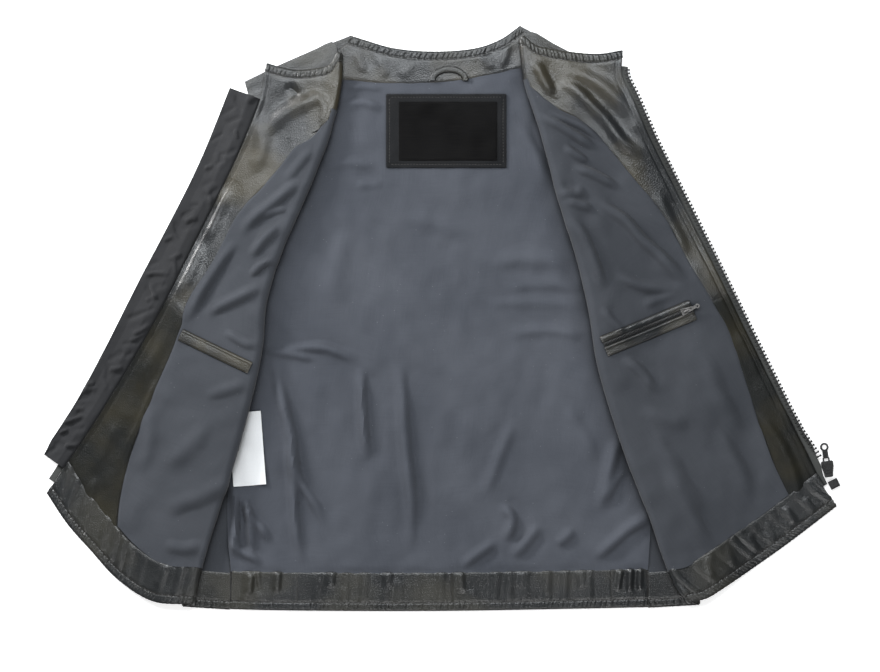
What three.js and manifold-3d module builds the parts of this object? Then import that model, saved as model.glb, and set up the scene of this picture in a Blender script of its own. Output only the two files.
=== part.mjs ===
import * as THREE from "three";
import { mergeVertices } from "three/addons/utils/BufferGeometryUtils.js";
import Module from "manifold-3d";

// A sleeveless leather vest with a front zip, laid on its back with the inside showing.
// Both fronts are folded outwards, so the back lining and the inside of each front are seen.
// Millimetres. +X is the wearer's left, +Y points to the neck, +Z is up, the table is z = 0.
// "right" and "left" are the wearer's.

// Driving sizes
const LEATHER = 1.2;
const CLOTH = 1;
const LABEL_CLOTH = 0.6;
const SEAM_GAP = 0.3;
const LAYER_GAP = 0.5;
const TOPSTITCHED_EDGE = 9;
const HEM_DEPTH = 41;
const FOLD_RADIUS_AT_ENDS = 2.6;
const FOLD_RADIUS_AT_MIDDLE = 6;
const FOLD_TAPER = 0.35;
const UNDER_LEAF_HEIGHT = 6;
const SHELL_HEIGHT = LEATHER / 2;
const LINING_BASE = LEATHER + LAYER_GAP;
const SIDE_FOLD_RADIUS = (UNDER_LEAF_HEIGHT - SHELL_HEIGHT) / 2;
const STACK_HEIGHT = UNDER_LEAF_HEIGHT + LEATHER + SEAM_GAP;

// How the upper leaf of a folded front comes down: from its fold, and off the side of the stack
const FOLD_SPREAD = 78;
const STACK_OVERHANG = 12;
const STACK_SLOPE = 62;
const SEAM_DROP = 20;

// The back, an outline of one leather panel between its side seams
const BACK_NECK = [
  { x: -101, y: 311 },
  { x: -82, y: 305 },
  { x: -54, y: 297 },
  { x: -9, y: 293 },
  { x: 40, y: 297 },
  { x: 67, y: 307 },
  { x: 88, y: 322 },
];
const BACK_HEM = [
  { x: -231, y: -321 },
  { x: -199, y: -322 },
  { x: -122, y: -323 },
  { x: 10, y: -323 },
  { x: 131, y: -321 },
  { x: 227, y: -319 },
];
const NECK_FACING_EDGE = [
  { x: -206, y: 249 },
  { x: -155, y: 257 },
  { x: -109, y: 262 },
  { x: -74, y: 259 },
  { x: -25, y: 258 },
  { x: 15, y: 261 },
  { x: 64, y: 269 },
  { x: 91, y: 275 },
  { x: 147, y: 266 },
  { x: 199, y: 251 },
];
// Seams that split the hem facing of the back, by their place across
const BACK_HEM_JOINTS = [-158, 12, 187];

// The two fronts as they lie folded. Each curve runs from the neck end down to the hem.
const RIGHT = {
  name: "right",
  side: -1,
  fold: [
    { x: -111, y: 290 },
    { x: -111, y: 272 },
    { x: -112, y: 255 },
    { x: -119, y: 220 },
    { x: -143, y: 150 },
    { x: -177, y: 70 },
    { x: -194, y: 13 },
    { x: -198, y: -35 },
    { x: -212, y: -101 },
    { x: -241, y: -202 },
    { x: -264, y: -276 },
    { x: -272, y: -316 },
  ],
  frontEdge: [
    { x: -193, y: 279 },
    { x: -199, y: 242 },
    { x: -226, y: 174 },
    { x: -268, y: 88 },
    { x: -311, y: 2 },
    { x: -371, y: -101 },
    { x: -413, y: -165 },
    { x: -432, y: -194 },
  ],
  neckline: [
    { x: -122, y: 277 },
    { x: -142, y: 272 },
    { x: -161, y: 271 },
    { x: -180, y: 275 },
  ],
  hem: [
    { x: -315, y: -312 },
    { x: -353, y: -289 },
    { x: -384, y: -256 },
    { x: -409, y: -228 },
  ],
  armholeAndSide: [
    { x: -217, y: 260 },
    { x: -210, y: 235 },
    { x: -198, y: 185 },
    { x: -197, y: 135 },
    { x: -215, y: 75 },
    { x: -241, y: 38 },
    { x: -264, y: 15 },
    { x: -272, y: -60 },
    { x: -277, y: -190 },
    { x: -281, y: -318 },
  ],
  shoulder: [
    { x: -118, y: 304 },
    { x: -141, y: 295 },
    { x: -182, y: 277 },
  ],
  sideSeam: [
    { x: -241, y: 38 },
    { x: -233, y: -200 },
    { x: -231, y: -321 },
  ],
  facingEdge: [
    { x: -105, y: 232 },
    { x: -130, y: 211 },
    { x: -152, y: 193 },
    { x: -186, y: 152 },
    { x: -222, y: 112 },
    { x: -251, y: 56 },
    { x: -279, y: 13 },
    { x: -286, y: -13 },
    { x: -296, y: -42 },
    { x: -312, y: -79 },
    { x: -335, y: -134 },
    { x: -351, y: -200 },
    { x: -355, y: -260 },
  ],
  facingReachesFold: 0.1,
  facingJoint: 0.53,
};

const LEFT = {
  name: "left",
  side: 1,
  fold: [
    { x: 89, y: 308 },
    { x: 90, y: 288 },
    { x: 94, y: 257 },
    { x: 109, y: 211 },
    { x: 129, y: 136 },
    { x: 150, y: 66 },
    { x: 164, y: 7 },
    { x: 173, y: -51 },
    { x: 197, y: -134 },
    { x: 228, y: -215 },
    { x: 255, y: -289 },
    { x: 272, y: -314 },
  ],
  frontEdge: [
    { x: 201, y: 293 },
    { x: 199, y: 267 },
    { x: 210, y: 242 },
    { x: 230, y: 196 },
    { x: 252, y: 152 },
    { x: 274, y: 108 },
    { x: 318, y: 18 },
    { x: 362, y: -72 },
    { x: 395, y: -139 },
    { x: 418, y: -184 },
    { x: 434, y: -208 },
  ],
  neckline: [
    { x: 103, y: 299 },
    { x: 117, y: 295 },
    { x: 143, y: 291 },
    { x: 175, y: 289 },
  ],
  hem: [
    { x: 290, y: -309 },
    { x: 307, y: -299 },
    { x: 373, y: -254 },
  ],
  armholeAndSide: [
    { x: 210, y: 262 },
    { x: 205, y: 235 },
    { x: 194, y: 185 },
    { x: 193, y: 135 },
    { x: 210, y: 75 },
    { x: 237, y: 38 },
    { x: 262, y: 15 },
    { x: 270, y: -60 },
    { x: 276, y: -190 },
    { x: 281, y: -316 },
  ],
  shoulder: [
    { x: 97, y: 316 },
    { x: 125, y: 302 },
    { x: 160, y: 284 },
  ],
  sideSeam: [
    { x: 237, y: 38 },
    { x: 229, y: -200 },
    { x: 227, y: -319 },
  ],
  facingEdge: [
    { x: 85, y: 266 },
    { x: 101, y: 250 },
    { x: 122, y: 240 },
    { x: 144, y: 223 },
    { x: 172, y: 199 },
    { x: 212, y: 152 },
    { x: 248, y: 106 },
    { x: 275, y: 54 },
    { x: 297, y: 18 },
    { x: 315, y: -15 },
    { x: 336, y: -75 },
    { x: 353, y: -129 },
    { x: 366, y: -165 },
    { x: 388, y: -210 },
  ],
  facingReachesFold: 0.072,
  facingJoint: 0.53,
};

// The wind flap beyond the right front edge, its outer side from top to bottom, and the
// heights of its middle across its width, where it passes over the zip and down to the table
const FLAP_OUTER = [
  { x: -233, y: 253 },
  { x: -267, y: 169 },
  { x: -331, y: 42 },
  { x: -399, y: -90 },
  { x: -438, y: -151 },
];
const FLAP_SECTION = [
  { across: 0, height: 3 },
  { across: 0.1, height: 4.4 },
  { across: 0.31, height: 4.4 },
  { across: 0.48, height: 2.6 },
  { across: 0.7, height: 0.6 },
  { across: 1, height: 0.5 },
];
const FLAP_LEVEL = 0.7;
const FLAP_STARTS = 0.075;
const FLAP_ENDS = 0.94;

// The zip: a tape beside the leather of each front, with the chain of teeth along its edge
const TAPE_THICKNESS = 0.8;
const TAPE_HEIGHT = 1.5;
const CHAIN_INSIDE = 4.8;
const CHAIN_WIDTH = 5.6;
const CHAIN_THICKNESS = 2.6;
const LEFT_ZIP_STARTS = 0.03;
const RIGHT_ZIP_STARTS = 0.09;
const ZIP_ROWS = 24;
const LEFT_CHAIN_ENDS = 0.911;
const LEFT_TAPE_ENDS = 0.955;
const RIGHT_CHAIN_ENDS = 0.9;
const RIGHT_TAPE_ENDS = 0.975;
const PIN_ENDS = 0.935;
const PIN_WIDTH = 2.6;

// The left tape's reach from the leather and the height of its middle. It rises to its slider
// and turns out to it, and narrows again beside the retainer box.
const LEFT_TAPE = [
  { down: 0, height: 1.5, reach: 4.5 },
  { down: 0.78, height: 1.5, reach: 4.5 },
  { down: 0.84, height: 4.2, reach: 5 },
  { down: 0.895, height: 5.25, reach: 8.6 },
  { down: 0.915, height: 5.25, reach: 8.6 },
  { down: 0.935, height: 4.6, reach: 5.6 },
  { down: 0.955, height: 3.6, reach: 5 },
];

// The main slider, its pull tab and the retainer box, seen from the inside of the garment:
// the tab and the bridge that holds it are on the side that faces the table. Each zip part is
// set out in its own directions: across it, along it towards the neck, and up.
const SLIDER = { x: 424.6, y: -168.3, turn: 8 };
const SLIDER_OUTLINE = [
  { along: 9, half: 5.2 },
  { along: 7.6, half: 6.5 },
  { along: 3, half: 6.5 },
  { along: -4.5, half: 4.75 },
  { along: -8, half: 4.4 },
  { along: -9, half: 3.6 },
];
const PLATE = 1.4;
const PLATE_SPACE = 3.2;
const BRIDGE = { width: 3, from: -2.5, to: 6.5, leg: 1.6, opening: 2.3, bar: 0.9, clear: 0.3 };
const RIBS = { width: 5.6, length: 1, height: 0.4, at: [0, -3.3, -6.6] };
const PULL = { hinge: 3.2, bar: 1.4, half: 3.8, neckHalf: 3, neckFrom: 10, length: 26 };
const PULL_WINDOW = { half: 2.2, from: 0.7, to: 8.6 };
const PULL_RING = { radius: 4.75, hole: 2.6, steps: 24 };
const RETAINER = { x: 431.5, y: -184.5, turn: 27, width: 11, length: 9.5, low: 0.6, high: 5.8 };

// The inner zip pocket of the left front: the line of its zip, and sizes across that line
const ZIP_POCKET = { fromX: 178, fromY: -33, toX: 276, toY: 8 };
const POCKET_CHAIN = { half: 2.9, thickness: 2 };
const POCKET_WELT = { from: 3.2, to: 9.2, thickness: 1.8 };
const LOWER_WELT = { from: -3.2, to: -13, thickness: 1.4 };
const POCKET_STEPS = 12;
const WELT_CLEARANCE = 0.7;
const POCKET_SLIDER_AT = 0.93;
const POCKET_PLATE = 1.4;
const POCKET_OUTLINE = [
  { along: 5.5, half: 2.4 },
  { along: 2, half: 3 },
  { along: -2.5, half: 4 },
  { along: -5, half: 4 },
  { along: -5.5, half: 3.2 },
];
const POCKET_BRIDGE = { width: 1.7, from: -3.2, to: 3, leg: 1.1, opening: 1.9, bar: 0.8 };
const POCKET_PULL = { hinge: 0.6, bar: 1.1, half: 2.4, neckHalf: 1.7, neckFrom: 7, length: 15 };
const POCKET_WINDOW = { half: 1.3, from: 0.55, to: 5.4 };
const POCKET_RING = { radius: 2.5, hole: 1.1, steps: 16 };

// The open inner pocket of the right front: a leather band along its mouth
const WELT_POCKET = { fromX: -286, fromY: -21, toX: -212, toY: -57, half: 6, thickness: 1.8 };
const WELT_STEPS = 10;

// The label on the back lining: a leather patch with a bare satin face
const LABEL = { x: 5.8, y: 205, width: 132, height: 81 };
const LABEL_FACE = { x: 7.7, y: 204.6, width: 108, height: 65 };
const CARE_LABEL = { x: -213, y: -146, width: 36, height: 81, turn: 4.5 };
const LABEL_STEPS = 6;

// The hanger loop, an arch of doubled leather from the facing's lower seam
const LOOP = { x: 9, y: 261, reach: 21, rise: 15.5, width: 7, thickness: 2.4, steps: 16 };

// Wide soft folds in the cloth and leather: a ridge from one point to another
const BACK_LINING_FOLDS = [
  { fromX: -178, fromY: -35, toX: -104, toY: -40, width: 12, height: 1.6 },
  { fromX: -104, fromY: -44, toX: -85, toY: -150, width: 13, height: 2.2 },
  { fromX: -56, fromY: -44, toX: -36, toY: -240, width: 15, height: 2 },
  { fromX: -180, fromY: -60, toX: -128, toY: -225, width: 14, height: 2.4 },
  { fromX: -160, fromY: -170, toX: -156, toY: -262, width: 12, height: 1.8 },
  { fromX: 60, fromY: -175, toX: 82, toY: -120, width: 13, height: 1.4 },
  { fromX: 62, fromY: -250, toX: 78, toY: -205, width: 12, height: 1.8 },
  { fromX: 195, fromY: -160, toX: 172, toY: -240, width: 14, height: 2 },
  { fromX: 225, fromY: -215, toX: 165, toY: -260, width: 12, height: 1.8 },
  { fromX: -100, fromY: 232, toX: -60, toY: 228, width: 12, height: 1.2 },
];
const RIGHT_LINING_FOLDS = [
  { fromX: -150, fromY: 150, toX: -220, toY: 85, width: 13, height: 2.4 },
  { fromX: -195, fromY: 32, toX: -258, toY: 4, width: 13, height: 2.6 },
  { fromX: -232, fromY: -20, toX: -206, toY: -36, width: 11, height: 1.8 },
  { fromX: -262, fromY: -120, toX: -330, toY: -190, width: 20, height: 2.6 },
  { fromX: -250, fromY: -215, toX: -330, toY: -225, width: 18, height: 2 },
];
const LEFT_LINING_FOLDS = [
  { fromX: 112, fromY: 225, toX: 172, toY: 182, width: 11, height: 2.2 },
  { fromX: 142, fromY: 165, toX: 198, toY: 140, width: 12, height: 2 },
  { fromX: 150, fromY: 130, toX: 262, toY: 50, width: 14, height: 2.6 },
  { fromX: 186, fromY: 46, toX: 272, toY: 28, width: 12, height: 2 },
  { fromX: 200, fromY: -46, toX: 236, toY: -85, width: 13, height: 1.8 },
  { fromX: 250, fromY: -140, toX: 300, toY: -210, width: 20, height: 2.4 },
];
const RIGHT_SHELL_FOLDS = [
  { fromX: -150, fromY: 262, toX: -165, toY: 200, width: 20, height: 3 },
  { fromX: -330, fromY: -90, toX: -380, toY: -200, width: 24, height: 3 },
];
const LEFT_SHELL_FOLDS = [
  { fromX: 118, fromY: 268, toX: 150, toY: 232, width: 16, height: 3 },
  { fromX: 160, fromY: 236, toX: 230, toY: 170, width: 20, height: 3 },
  { fromX: 350, fromY: -100, toX: 402, toY: -200, width: 24, height: 3 },
];

// Numbers that the curve and surface helpers share
const CURVE_SAMPLES = 240;
const LENGTH_SAMPLES = 24;
const SEARCH_STEPS = 34;
const SLOPE_STEP = 0.004;
const NEWTON_STEPS = 24;
const UP = new THREE.Vector3(0, 0, 1);
const SEAM_START = 0.02;
const SEAM_SHARE = 0.0006;
const FACING_TUCK = 0.08;
const HEM_SEAM = 0.8;
const HEM_LINING = HEM_DEPTH + HEM_SEAM;
const LINING_INSIDE_ARMHOLE = 7;
const LINING_INSIDE_SEAM = 1;
const MERGE = 1e4;
const NECK_ROW = 0.016;
const NECK_STEPS = 18;
const HEM_ROWS = [0.932, 0.983, 1];
const JOIN_START = 0.05;
const BRIDGE_ROOT = 0.3;
const SLIDER_LIFT = 0.5;

// Finishes
const blackLeather = { color: 0x1d1c1a, roughness: 0.42, metalness: 0 };
const liningCloth = { color: 0x3b3e48, roughness: 0.9, metalness: 0 };
const flapCloth = { color: 0x25262b, roughness: 0.92, metalness: 0 };
const satin = { color: 0x0a0a0b, roughness: 0.35, metalness: 0 };
const whiteLabel = { color: 0xe8e8ea, roughness: 0.8, metalness: 0 };
const zipTapeCloth = { color: 0x17181a, roughness: 0.85, metalness: 0 };
const zipPlastic = { color: 0x0d0d0e, roughness: 0.4, metalness: 0 };
const zipMetal = { color: 0x2b2a29, roughness: 0.35, metalness: 0.8 };

const vest = new THREE.Group();

function add(name, geometry, finish, parent = vest) {
  const mesh = new THREE.Mesh(geometry, new THREE.MeshStandardMaterial(finish));
  mesh.name = name;
  parent.add(mesh);
  return mesh;
}

function smooth(value) {
  return THREE.MathUtils.smoothstep(value, 0, 1);
}

// A smooth plan curve through a table's points, read by its share of the whole length
function curveThrough(points) {
  const corners = points.map(({ x, y }) => new THREE.Vector3(x, y, 0));
  const curve = new THREE.CatmullRomCurve3(corners, false, "centripetal");
  curve.arcLengthDivisions = CURVE_SAMPLES;
  const samples = curve.getSpacedPoints(CURVE_SAMPLES);
  const at = (share) => {
    const place = THREE.MathUtils.clamp(share, 0, 1) * CURVE_SAMPLES;
    const low = Math.min(Math.floor(place), CURVE_SAMPLES - 1);
    return samples[low].clone().lerp(samples[low + 1], place - low);
  };
  return { at, samples, length: curve.getLength() };
}

// The unit direction across a curve, towards the wanted side
function acrossCurve(curve, share, side) {
  const before = curve.at(share - SLOPE_STEP);
  const along = curve.at(share + SLOPE_STEP).sub(before).normalize();
  const across = new THREE.Vector3(along.y, -along.x, 0);
  return across.x * side < 0 ? across.negate() : across;
}

// The signed distance of a plan point from a curve: positive on the chosen side of it
function distanceFrom(curve, point, side) {
  let nearest = Infinity;
  let sign = 1;
  const { samples } = curve;
  for (let i = 0; i + 1 < samples.length; i += 1) {
    const start = samples[i];
    const along = samples[i + 1].clone().sub(start);
    const offset = new THREE.Vector3(point.x - start.x, point.y - start.y, 0);
    const share = THREE.MathUtils.clamp(offset.dot(along) / along.lengthSq(), 0, 1);
    const gap = offset.clone().addScaledVector(along, -share).length();
    if (gap < nearest) {
      nearest = gap;
      sign = Math.sign(along.x * offset.y - along.y * offset.x) || 1;
    }
  }
  return nearest * sign * side;
}

// A plan patch between four curves that meet at its corners
function patch(left, right, top, bottom) {
  return (down, across) => {
    const sides = left.at(down).lerp(right.at(down), across);
    const ends = top.at(across).lerp(bottom.at(across), down);
    const upper = left.at(0).lerp(right.at(0), across);
    const lower = left.at(1).lerp(right.at(1), across);
    return sides.add(ends).sub(upper.lerp(lower, down));
  };
}

// How far a table of folds lifts the cloth at a plan point
function lift(folds, point) {
  let height = 0;
  for (const fold of folds) {
    const start = new THREE.Vector3(fold.fromX, fold.fromY, 0);
    const along = new THREE.Vector3(fold.toX, fold.toY, 0).sub(start);
    const offset = new THREE.Vector3(point.x, point.y, 0).sub(start);
    const share = THREE.MathUtils.clamp(offset.dot(along) / along.lengthSq(), 0, 1);
    const gap = offset.addScaledVector(along, -share).length() / fold.width;
    height += fold.height * Math.exp(-gap * gap);
  }
  return height;
}

// A closed wall over a grid of surface points. Cells that aren't kept are left out, and cells
// that a cut has closed up vanish, because equal points are merged.
function wall({ rows, columns, at, inner, outer, keep = () => true }) {
  const positions = [];
  const indices = [];
  const numbered = new Map();
  const surface = evenly(0, rows, rows).map((i) => evenly(0, columns, columns).map((j) => at(i, j)));
  const corner = (i, j, offset) => {
    const { point, normal } = surface[i][j];
    const place = point.clone().addScaledVector(normal, offset);
    const key = place.toArray().map((value) => Math.round(value * MERGE)).join();
    if (!numbered.has(key)) {
      numbered.set(key, positions.length / 3);
      positions.push(place.x, place.y, place.z);
    }
    return numbered.get(key);
  };
  const triangle = (a, b, c) => {
    if (a !== b && b !== c && c !== a) indices.push(a, b, c);
  };
  const quad = (a, b, c, d) => {
    triangle(a, b, c);
    triangle(a, c, d);
  };
  const kept = (i, j) => i >= 0 && j >= 0 && i < rows && j < columns && keep(i, j);
  for (let i = 0; i < rows; i += 1) {
    for (let j = 0; j < columns; j += 1) {
      if (!kept(i, j)) continue;
      const corners = [[i, j], [i + 1, j], [i + 1, j + 1], [i, j + 1]];
      const top = corners.map(([row, column]) => corner(row, column, outer));
      const base = corners.map(([row, column]) => corner(row, column, inner));
      quad(...top);
      triangle(base[2], base[1], base[0]);
      triangle(base[3], base[2], base[0]);
      const open = [kept(i, j - 1), kept(i + 1, j), kept(i, j + 1), kept(i - 1, j)];
      open.forEach((neighbour, k) => {
        const next = (k + 1) % 4;
        if (!neighbour) quad(top[next], top[k], base[k], base[next]);
      });
    }
  }
  const geometry = new THREE.BufferGeometry();
  geometry.setAttribute("position", new THREE.Float32BufferAttribute(positions, 3));
  geometry.setIndex(volumeOf(positions, indices) < 0 ? indices.reverse() : indices);
  return geometry;
}

function volumeOf(positions, indices) {
  const corner = (index) => new THREE.Vector3().fromArray(positions, index * 3);
  let volume = 0;
  for (let i = 0; i < indices.length; i += 3) {
    const [a, b, c] = [corner(indices[i]), corner(indices[i + 1]), corner(indices[i + 2])];
    volume += a.dot(b.cross(c));
  }
  return volume;
}

// One folded front as a single sheet. "down" runs from the neck and shoulder (0) to the hem (1).
// "across" runs over the sheet: SEAM, under the back's side, the side fold at SIDE, the hidden
// under leaf from UNDER, the visible fold from FOLD, the upper leaf from TOP to EDGE.
// The sheet's normal points to the inside of the garment.
const SEAM = 0;
const SIDE = 1;
const UNDER = 2;
const FOLD = 3;
const TOP = 4;
const EDGE = 5;
const FOLD_STEPS = evenly(FOLD, TOP, 4);
const UPPER_LEAF_SHARES = [0.07, 0.15, 0.25, 0.36, 0.49, 0.62, 0.75, 0.88, 1];
const UNDER_STEPS = [SEAM, SIDE, SIDE + 0.5, UNDER, UNDER + 0.34, UNDER + 0.67];
const UPPER_STEPS = UPPER_LEAF_SHARES.map((share) => TOP + share);
const GRID_COLUMNS = [...UNDER_STEPS, ...FOLD_STEPS, ...UPPER_STEPS];
const UNDER_COLUMN = GRID_COLUMNS.indexOf(UNDER);
const TOP_COLUMN = GRID_COLUMNS.indexOf(TOP);

// The cell of a rising list that holds a value, and the value's share of that cell
function cellOf(list, value) {
  let cell = 0;
  while (cell < list.length - 2 && value > list[cell + 1]) cell += 1;
  return [cell, (value - list[cell]) / (list[cell + 1] - list[cell])];
}

function foldedFront(shape, shellFolds) {
  const { side } = shape;
  const foldLine = curveThrough(shape.fold);
  const radiusAt = (down) => {
    const middle = smooth(down / FOLD_TAPER) * smooth((1 - down) / FOLD_TAPER);
    return THREE.MathUtils.lerp(FOLD_RADIUS_AT_ENDS, FOLD_RADIUS_AT_MIDDLE, middle);
  };
  const centreAt = (down) =>
    foldLine.at(down).addScaledVector(acrossCurve(foldLine, down, side), radiusAt(down));
  const centreLine = { at: centreAt };
  const frontEdge = curveThrough(shape.frontEdge);
  const outerLine = curveThrough(shape.armholeAndSide);
  const sideSeam = curveThrough(shape.sideSeam);
  const hem = curveThrough([centreAt(1), ...shape.hem, shape.frontEdge.at(-1)]);
  const neckline = curveThrough([centreAt(0), ...shape.neckline, shape.frontEdge[0]]);
  const shoulder = curveThrough([shape.armholeAndSide[0], ...[...shape.shoulder].reverse(), centreAt(0)]);
  const sideEnd = curveThrough([shape.armholeAndSide.at(-1), centreAt(1)]);
  const upperPlan = patch(centreLine, frontEdge, neckline, hem);
  const underPlan = patch(outerLine, centreLine, shoulder, sideEnd);
  const underarm = underarmShare(outerLine, shape.sideSeam[0]);
  const stackEdge = curveThrough([
    ...shape.shoulder,
    ...shape.armholeAndSide,
  ]);

  const upperHeight = (point, down, across) => {
    const outside = distanceFrom(stackEdge, point, side);
    const off = smooth((outside - STACK_OVERHANG) / STACK_SLOPE);
    const width = frontEdge.at(down).distanceTo(centreAt(down));
    const near = 1 - smooth((across * width) / FOLD_SPREAD);
    const foldTop = UNDER_LEAF_HEIGHT + 2 * radiusAt(down);
    const resting = THREE.MathUtils.lerp(STACK_HEIGHT, SHELL_HEIGHT, off);
    return resting + (foldTop - STACK_HEIGHT) * near + lift(shellFolds, point) * (1 - near);
  };
  const underHeight = (point, down) => {
    const fromSeam = smooth((down * foldLine.length) / SEAM_DROP);
    const fromFold = smooth(point.distanceTo(centreAt(down)) / (2 * SEAM_DROP));
    const drop = UNDER_LEAF_HEIGHT - SHELL_HEIGHT - LINING_BASE;
    return UNDER_LEAF_HEIGHT - drop * (1 - fromSeam) * fromFold;
  };
  const seamAt = (down) => sideSeam.at((down - underarm) / (1 - underarm));

  const pointAt = (down, across) => {
    if (across < SIDE) {
      return seamAt(down).lerp(outerLine.at(down), across - SEAM).setZ(SHELL_HEIGHT);
    }
    if (across < UNDER) {
      const turn = Math.PI * (across - SIDE - 0.5);
      const out = acrossCurve(outerLine, down, side).multiplyScalar(SIDE_FOLD_RADIUS * Math.cos(turn));
      return outerLine.at(down).add(out).setZ(SHELL_HEIGHT + SIDE_FOLD_RADIUS * (1 + Math.sin(turn)));
    }
    if (across < FOLD) {
      const point = underPlan(down, across - UNDER);
      return point.setZ(underHeight(point, down));
    }
    if (across < TOP) {
      const turn = Math.PI * (across - FOLD - 0.5);
      const radius = radiusAt(down);
      const out = acrossCurve(foldLine, down, -side).multiplyScalar(radius * Math.cos(turn));
      return centreAt(down).add(out).setZ(UNDER_LEAF_HEIGHT + radius * (1 + Math.sin(turn)));
    }
    const point = upperPlan(down, across - TOP);
    return point.setZ(upperHeight(point, down, across - TOP));
  };

  const exactAt = (down, across) => {
    if (across <= SIDE) return { point: pointAt(down, across), normal: UP.clone() };
    const low = THREE.MathUtils.clamp(down - SLOPE_STEP, 0, 1);
    const high = THREE.MathUtils.clamp(down + SLOPE_STEP, 0, 1);
    const near = THREE.MathUtils.clamp(across - SLOPE_STEP, SEAM, EDGE);
    const far = THREE.MathUtils.clamp(across + SLOPE_STEP, SEAM, EDGE);
    const alongDown = pointAt(high, across).sub(pointAt(low, across));
    const alongAcross = pointAt(down, far).sub(pointAt(down, near));
    const normal = alongAcross.cross(alongDown).normalize().multiplyScalar(-side);
    return { point: pointAt(down, across), normal };
  };
  const { facingReachesFold } = shape;
  const gridRows = [
    0,
    NECK_ROW,
    ...evenly(facingReachesFold, underarm, 7),
    ...evenly(underarm, HEM_ROWS[0], 11).slice(1),
    ...HEM_ROWS.slice(1),
  ];
  const grid = gridRows.map((down) => GRID_COLUMNS.map((across) => exactAt(down, across)));

  // All pieces of the front take their points from the facets of one grid, so walls stay parallel
  const surfaceAt = (down, across) => {
    const [i, downShare] = cellOf(gridRows, down);
    const [j, acrossShare] = cellOf(GRID_COLUMNS, across);
    const mixed = (key) => {
      const [start, end] = [grid[i][j][key], grid[i + 1][j + 1][key]];
      const lowerHalf = downShare >= acrossShare;
      const corner = lowerHalf ? grid[i + 1][j][key] : grid[i][j + 1][key];
      const [first, second] = lowerHalf ? [downShare, acrossShare] : [acrossShare, downShare];
      const toCorner = corner.clone().sub(start).multiplyScalar(first);
      return toCorner.add(start).addScaledVector(end.clone().sub(corner), second);
    };
    return { point: mixed("point"), normal: mixed("normal") };
  };

  const lengthAt = (across) => {
    let length = 0;
    for (let i = 0; i < LENGTH_SAMPLES; i += 1) {
      const start = pointAt(i / LENGTH_SAMPLES, across);
      length += start.distanceTo(pointAt((i + 1) / LENGTH_SAMPLES, across));
    }
    return length;
  };
  const fromNeck = (depth) => (across) => depth / lengthAt(across);
  const fromHem = (depth) => (across) => {
    const whole = across < FOLD ? foldLine.length : lengthAt(across);
    return 1 - depth / whole;
  };
  const widthAt = (down) => frontEdge.at(down).distanceTo(centreAt(down));

  // The place of a plan curve on the upper leaf, as an "across" value for each "down"
  const followCurve = (points, shift) => {
    const curve = curveThrough(points);
    const outside = distanceFrom(curve, frontEdge.at(0.3), 1) > 0 ? 1 : -1;
    return (down) => {
      let [low, high] = [0, 1];
      if (distanceFrom(curve, upperPlan(down, low), outside) > 0) return TOP;
      const opening = THREE.MathUtils.clamp((down - facingReachesFold) / JOIN_START, 0, 1);
      for (let step = 0; step < SEARCH_STEPS; step += 1) {
        const middle = (low + high) / 2;
        const beyond = distanceFrom(curve, upperPlan(down, middle), outside) > 0;
        [low, high] = beyond ? [low, middle] : [middle, high];
      }
      return TOP + THREE.MathUtils.clamp((low + shift / widthAt(down)) * opening, 0, 1);
    };
  };

  // The place on the upper leaf of a plan point, found by following the plan's slopes
  const placeOf = (x, y) => {
    let [down, across] = [0.5, 0.5];
    for (let step = 0; step < NEWTON_STEPS; step += 1) {
      const here = upperPlan(down, across);
      const alongDown = upperPlan(down + SLOPE_STEP, across).sub(here).divideScalar(SLOPE_STEP);
      const alongAcross = upperPlan(down, across + SLOPE_STEP).sub(here).divideScalar(SLOPE_STEP);
      const [missX, missY] = [x - here.x, y - here.y];
      const turn = alongDown.x * alongAcross.y - alongDown.y * alongAcross.x;
      down += (missX * alongAcross.y - missY * alongAcross.x) / turn;
      across += (missY * alongDown.x - missX * alongDown.y) / turn;
      down = THREE.MathUtils.clamp(down, SLOPE_STEP, 1 - SLOPE_STEP);
      across = THREE.MathUtils.clamp(across, 0, 1 - SLOPE_STEP);
    }
    return { down, across };
  };
  return { shape, gridRows, surfaceAt, placeOf, fromNeck, fromHem, followCurve, frontEdge, underarm };
}

function underarmShare(outerLine, seamTop) {
  const top = new THREE.Vector3(seamTop.x, seamTop.y, 0);
  const distances = outerLine.samples.map((sample) => sample.distanceTo(top));
  return distances.indexOf(Math.min(...distances)) / CURVE_SAMPLES;
}

// A list of evenly spaced values
function evenly(from, to, steps) {
  return Array.from({ length: steps + 1 }, (_, i) => from + ((to - from) * i) / steps);
}

// A piece of a folded front: the front's grid, cut by limits that are numbers or functions of
// the other direction. "raise" lifts a loose lining off the shell.
function frontPiece(front, cut) {
  const { top = 0, bottom = 1, near = SEAM, far = EDGE } = cut;
  const { inner = ON_SHELL, thickness = LEATHER, raise = () => 0, keep } = cut;
  const value = (limit, other) => (typeof limit === "function" ? limit(other) : limit);
  const at = (i, j) => {
    const { clamp } = THREE.MathUtils;
    const [row, column] = [front.gridRows[i], GRID_COLUMNS[j]];
    const roughly = clamp(column, value(near, row), value(far, row));
    const down = clamp(row, value(top, roughly), value(bottom, roughly));
    const across = clamp(column, value(near, down), value(far, down));
    const { point, normal } = front.surfaceAt(down, across);
    const free = smooth((across - TOP) * 4);
    return { point: point.addScaledVector(normal, free * raise(point)), normal };
  };
  const [rows, columns] = [front.gridRows.length - 1, GRID_COLUMNS.length - 1];
  return wall({ rows, columns, at, inner, outer: inner + thickness, keep });
}

const ON_SHELL = LEATHER / 2 + LAYER_GAP;

// Leather shell of one front: one panel, folded under at the side and over at the fold
function frontShell(front) {
  const keep = (i, j) => j >= UNDER_COLUMN || front.gridRows[i] >= front.underarm;
  return frontPiece(front, { near: SEAM_START, inner: -LEATHER / 2, keep });
}

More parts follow.
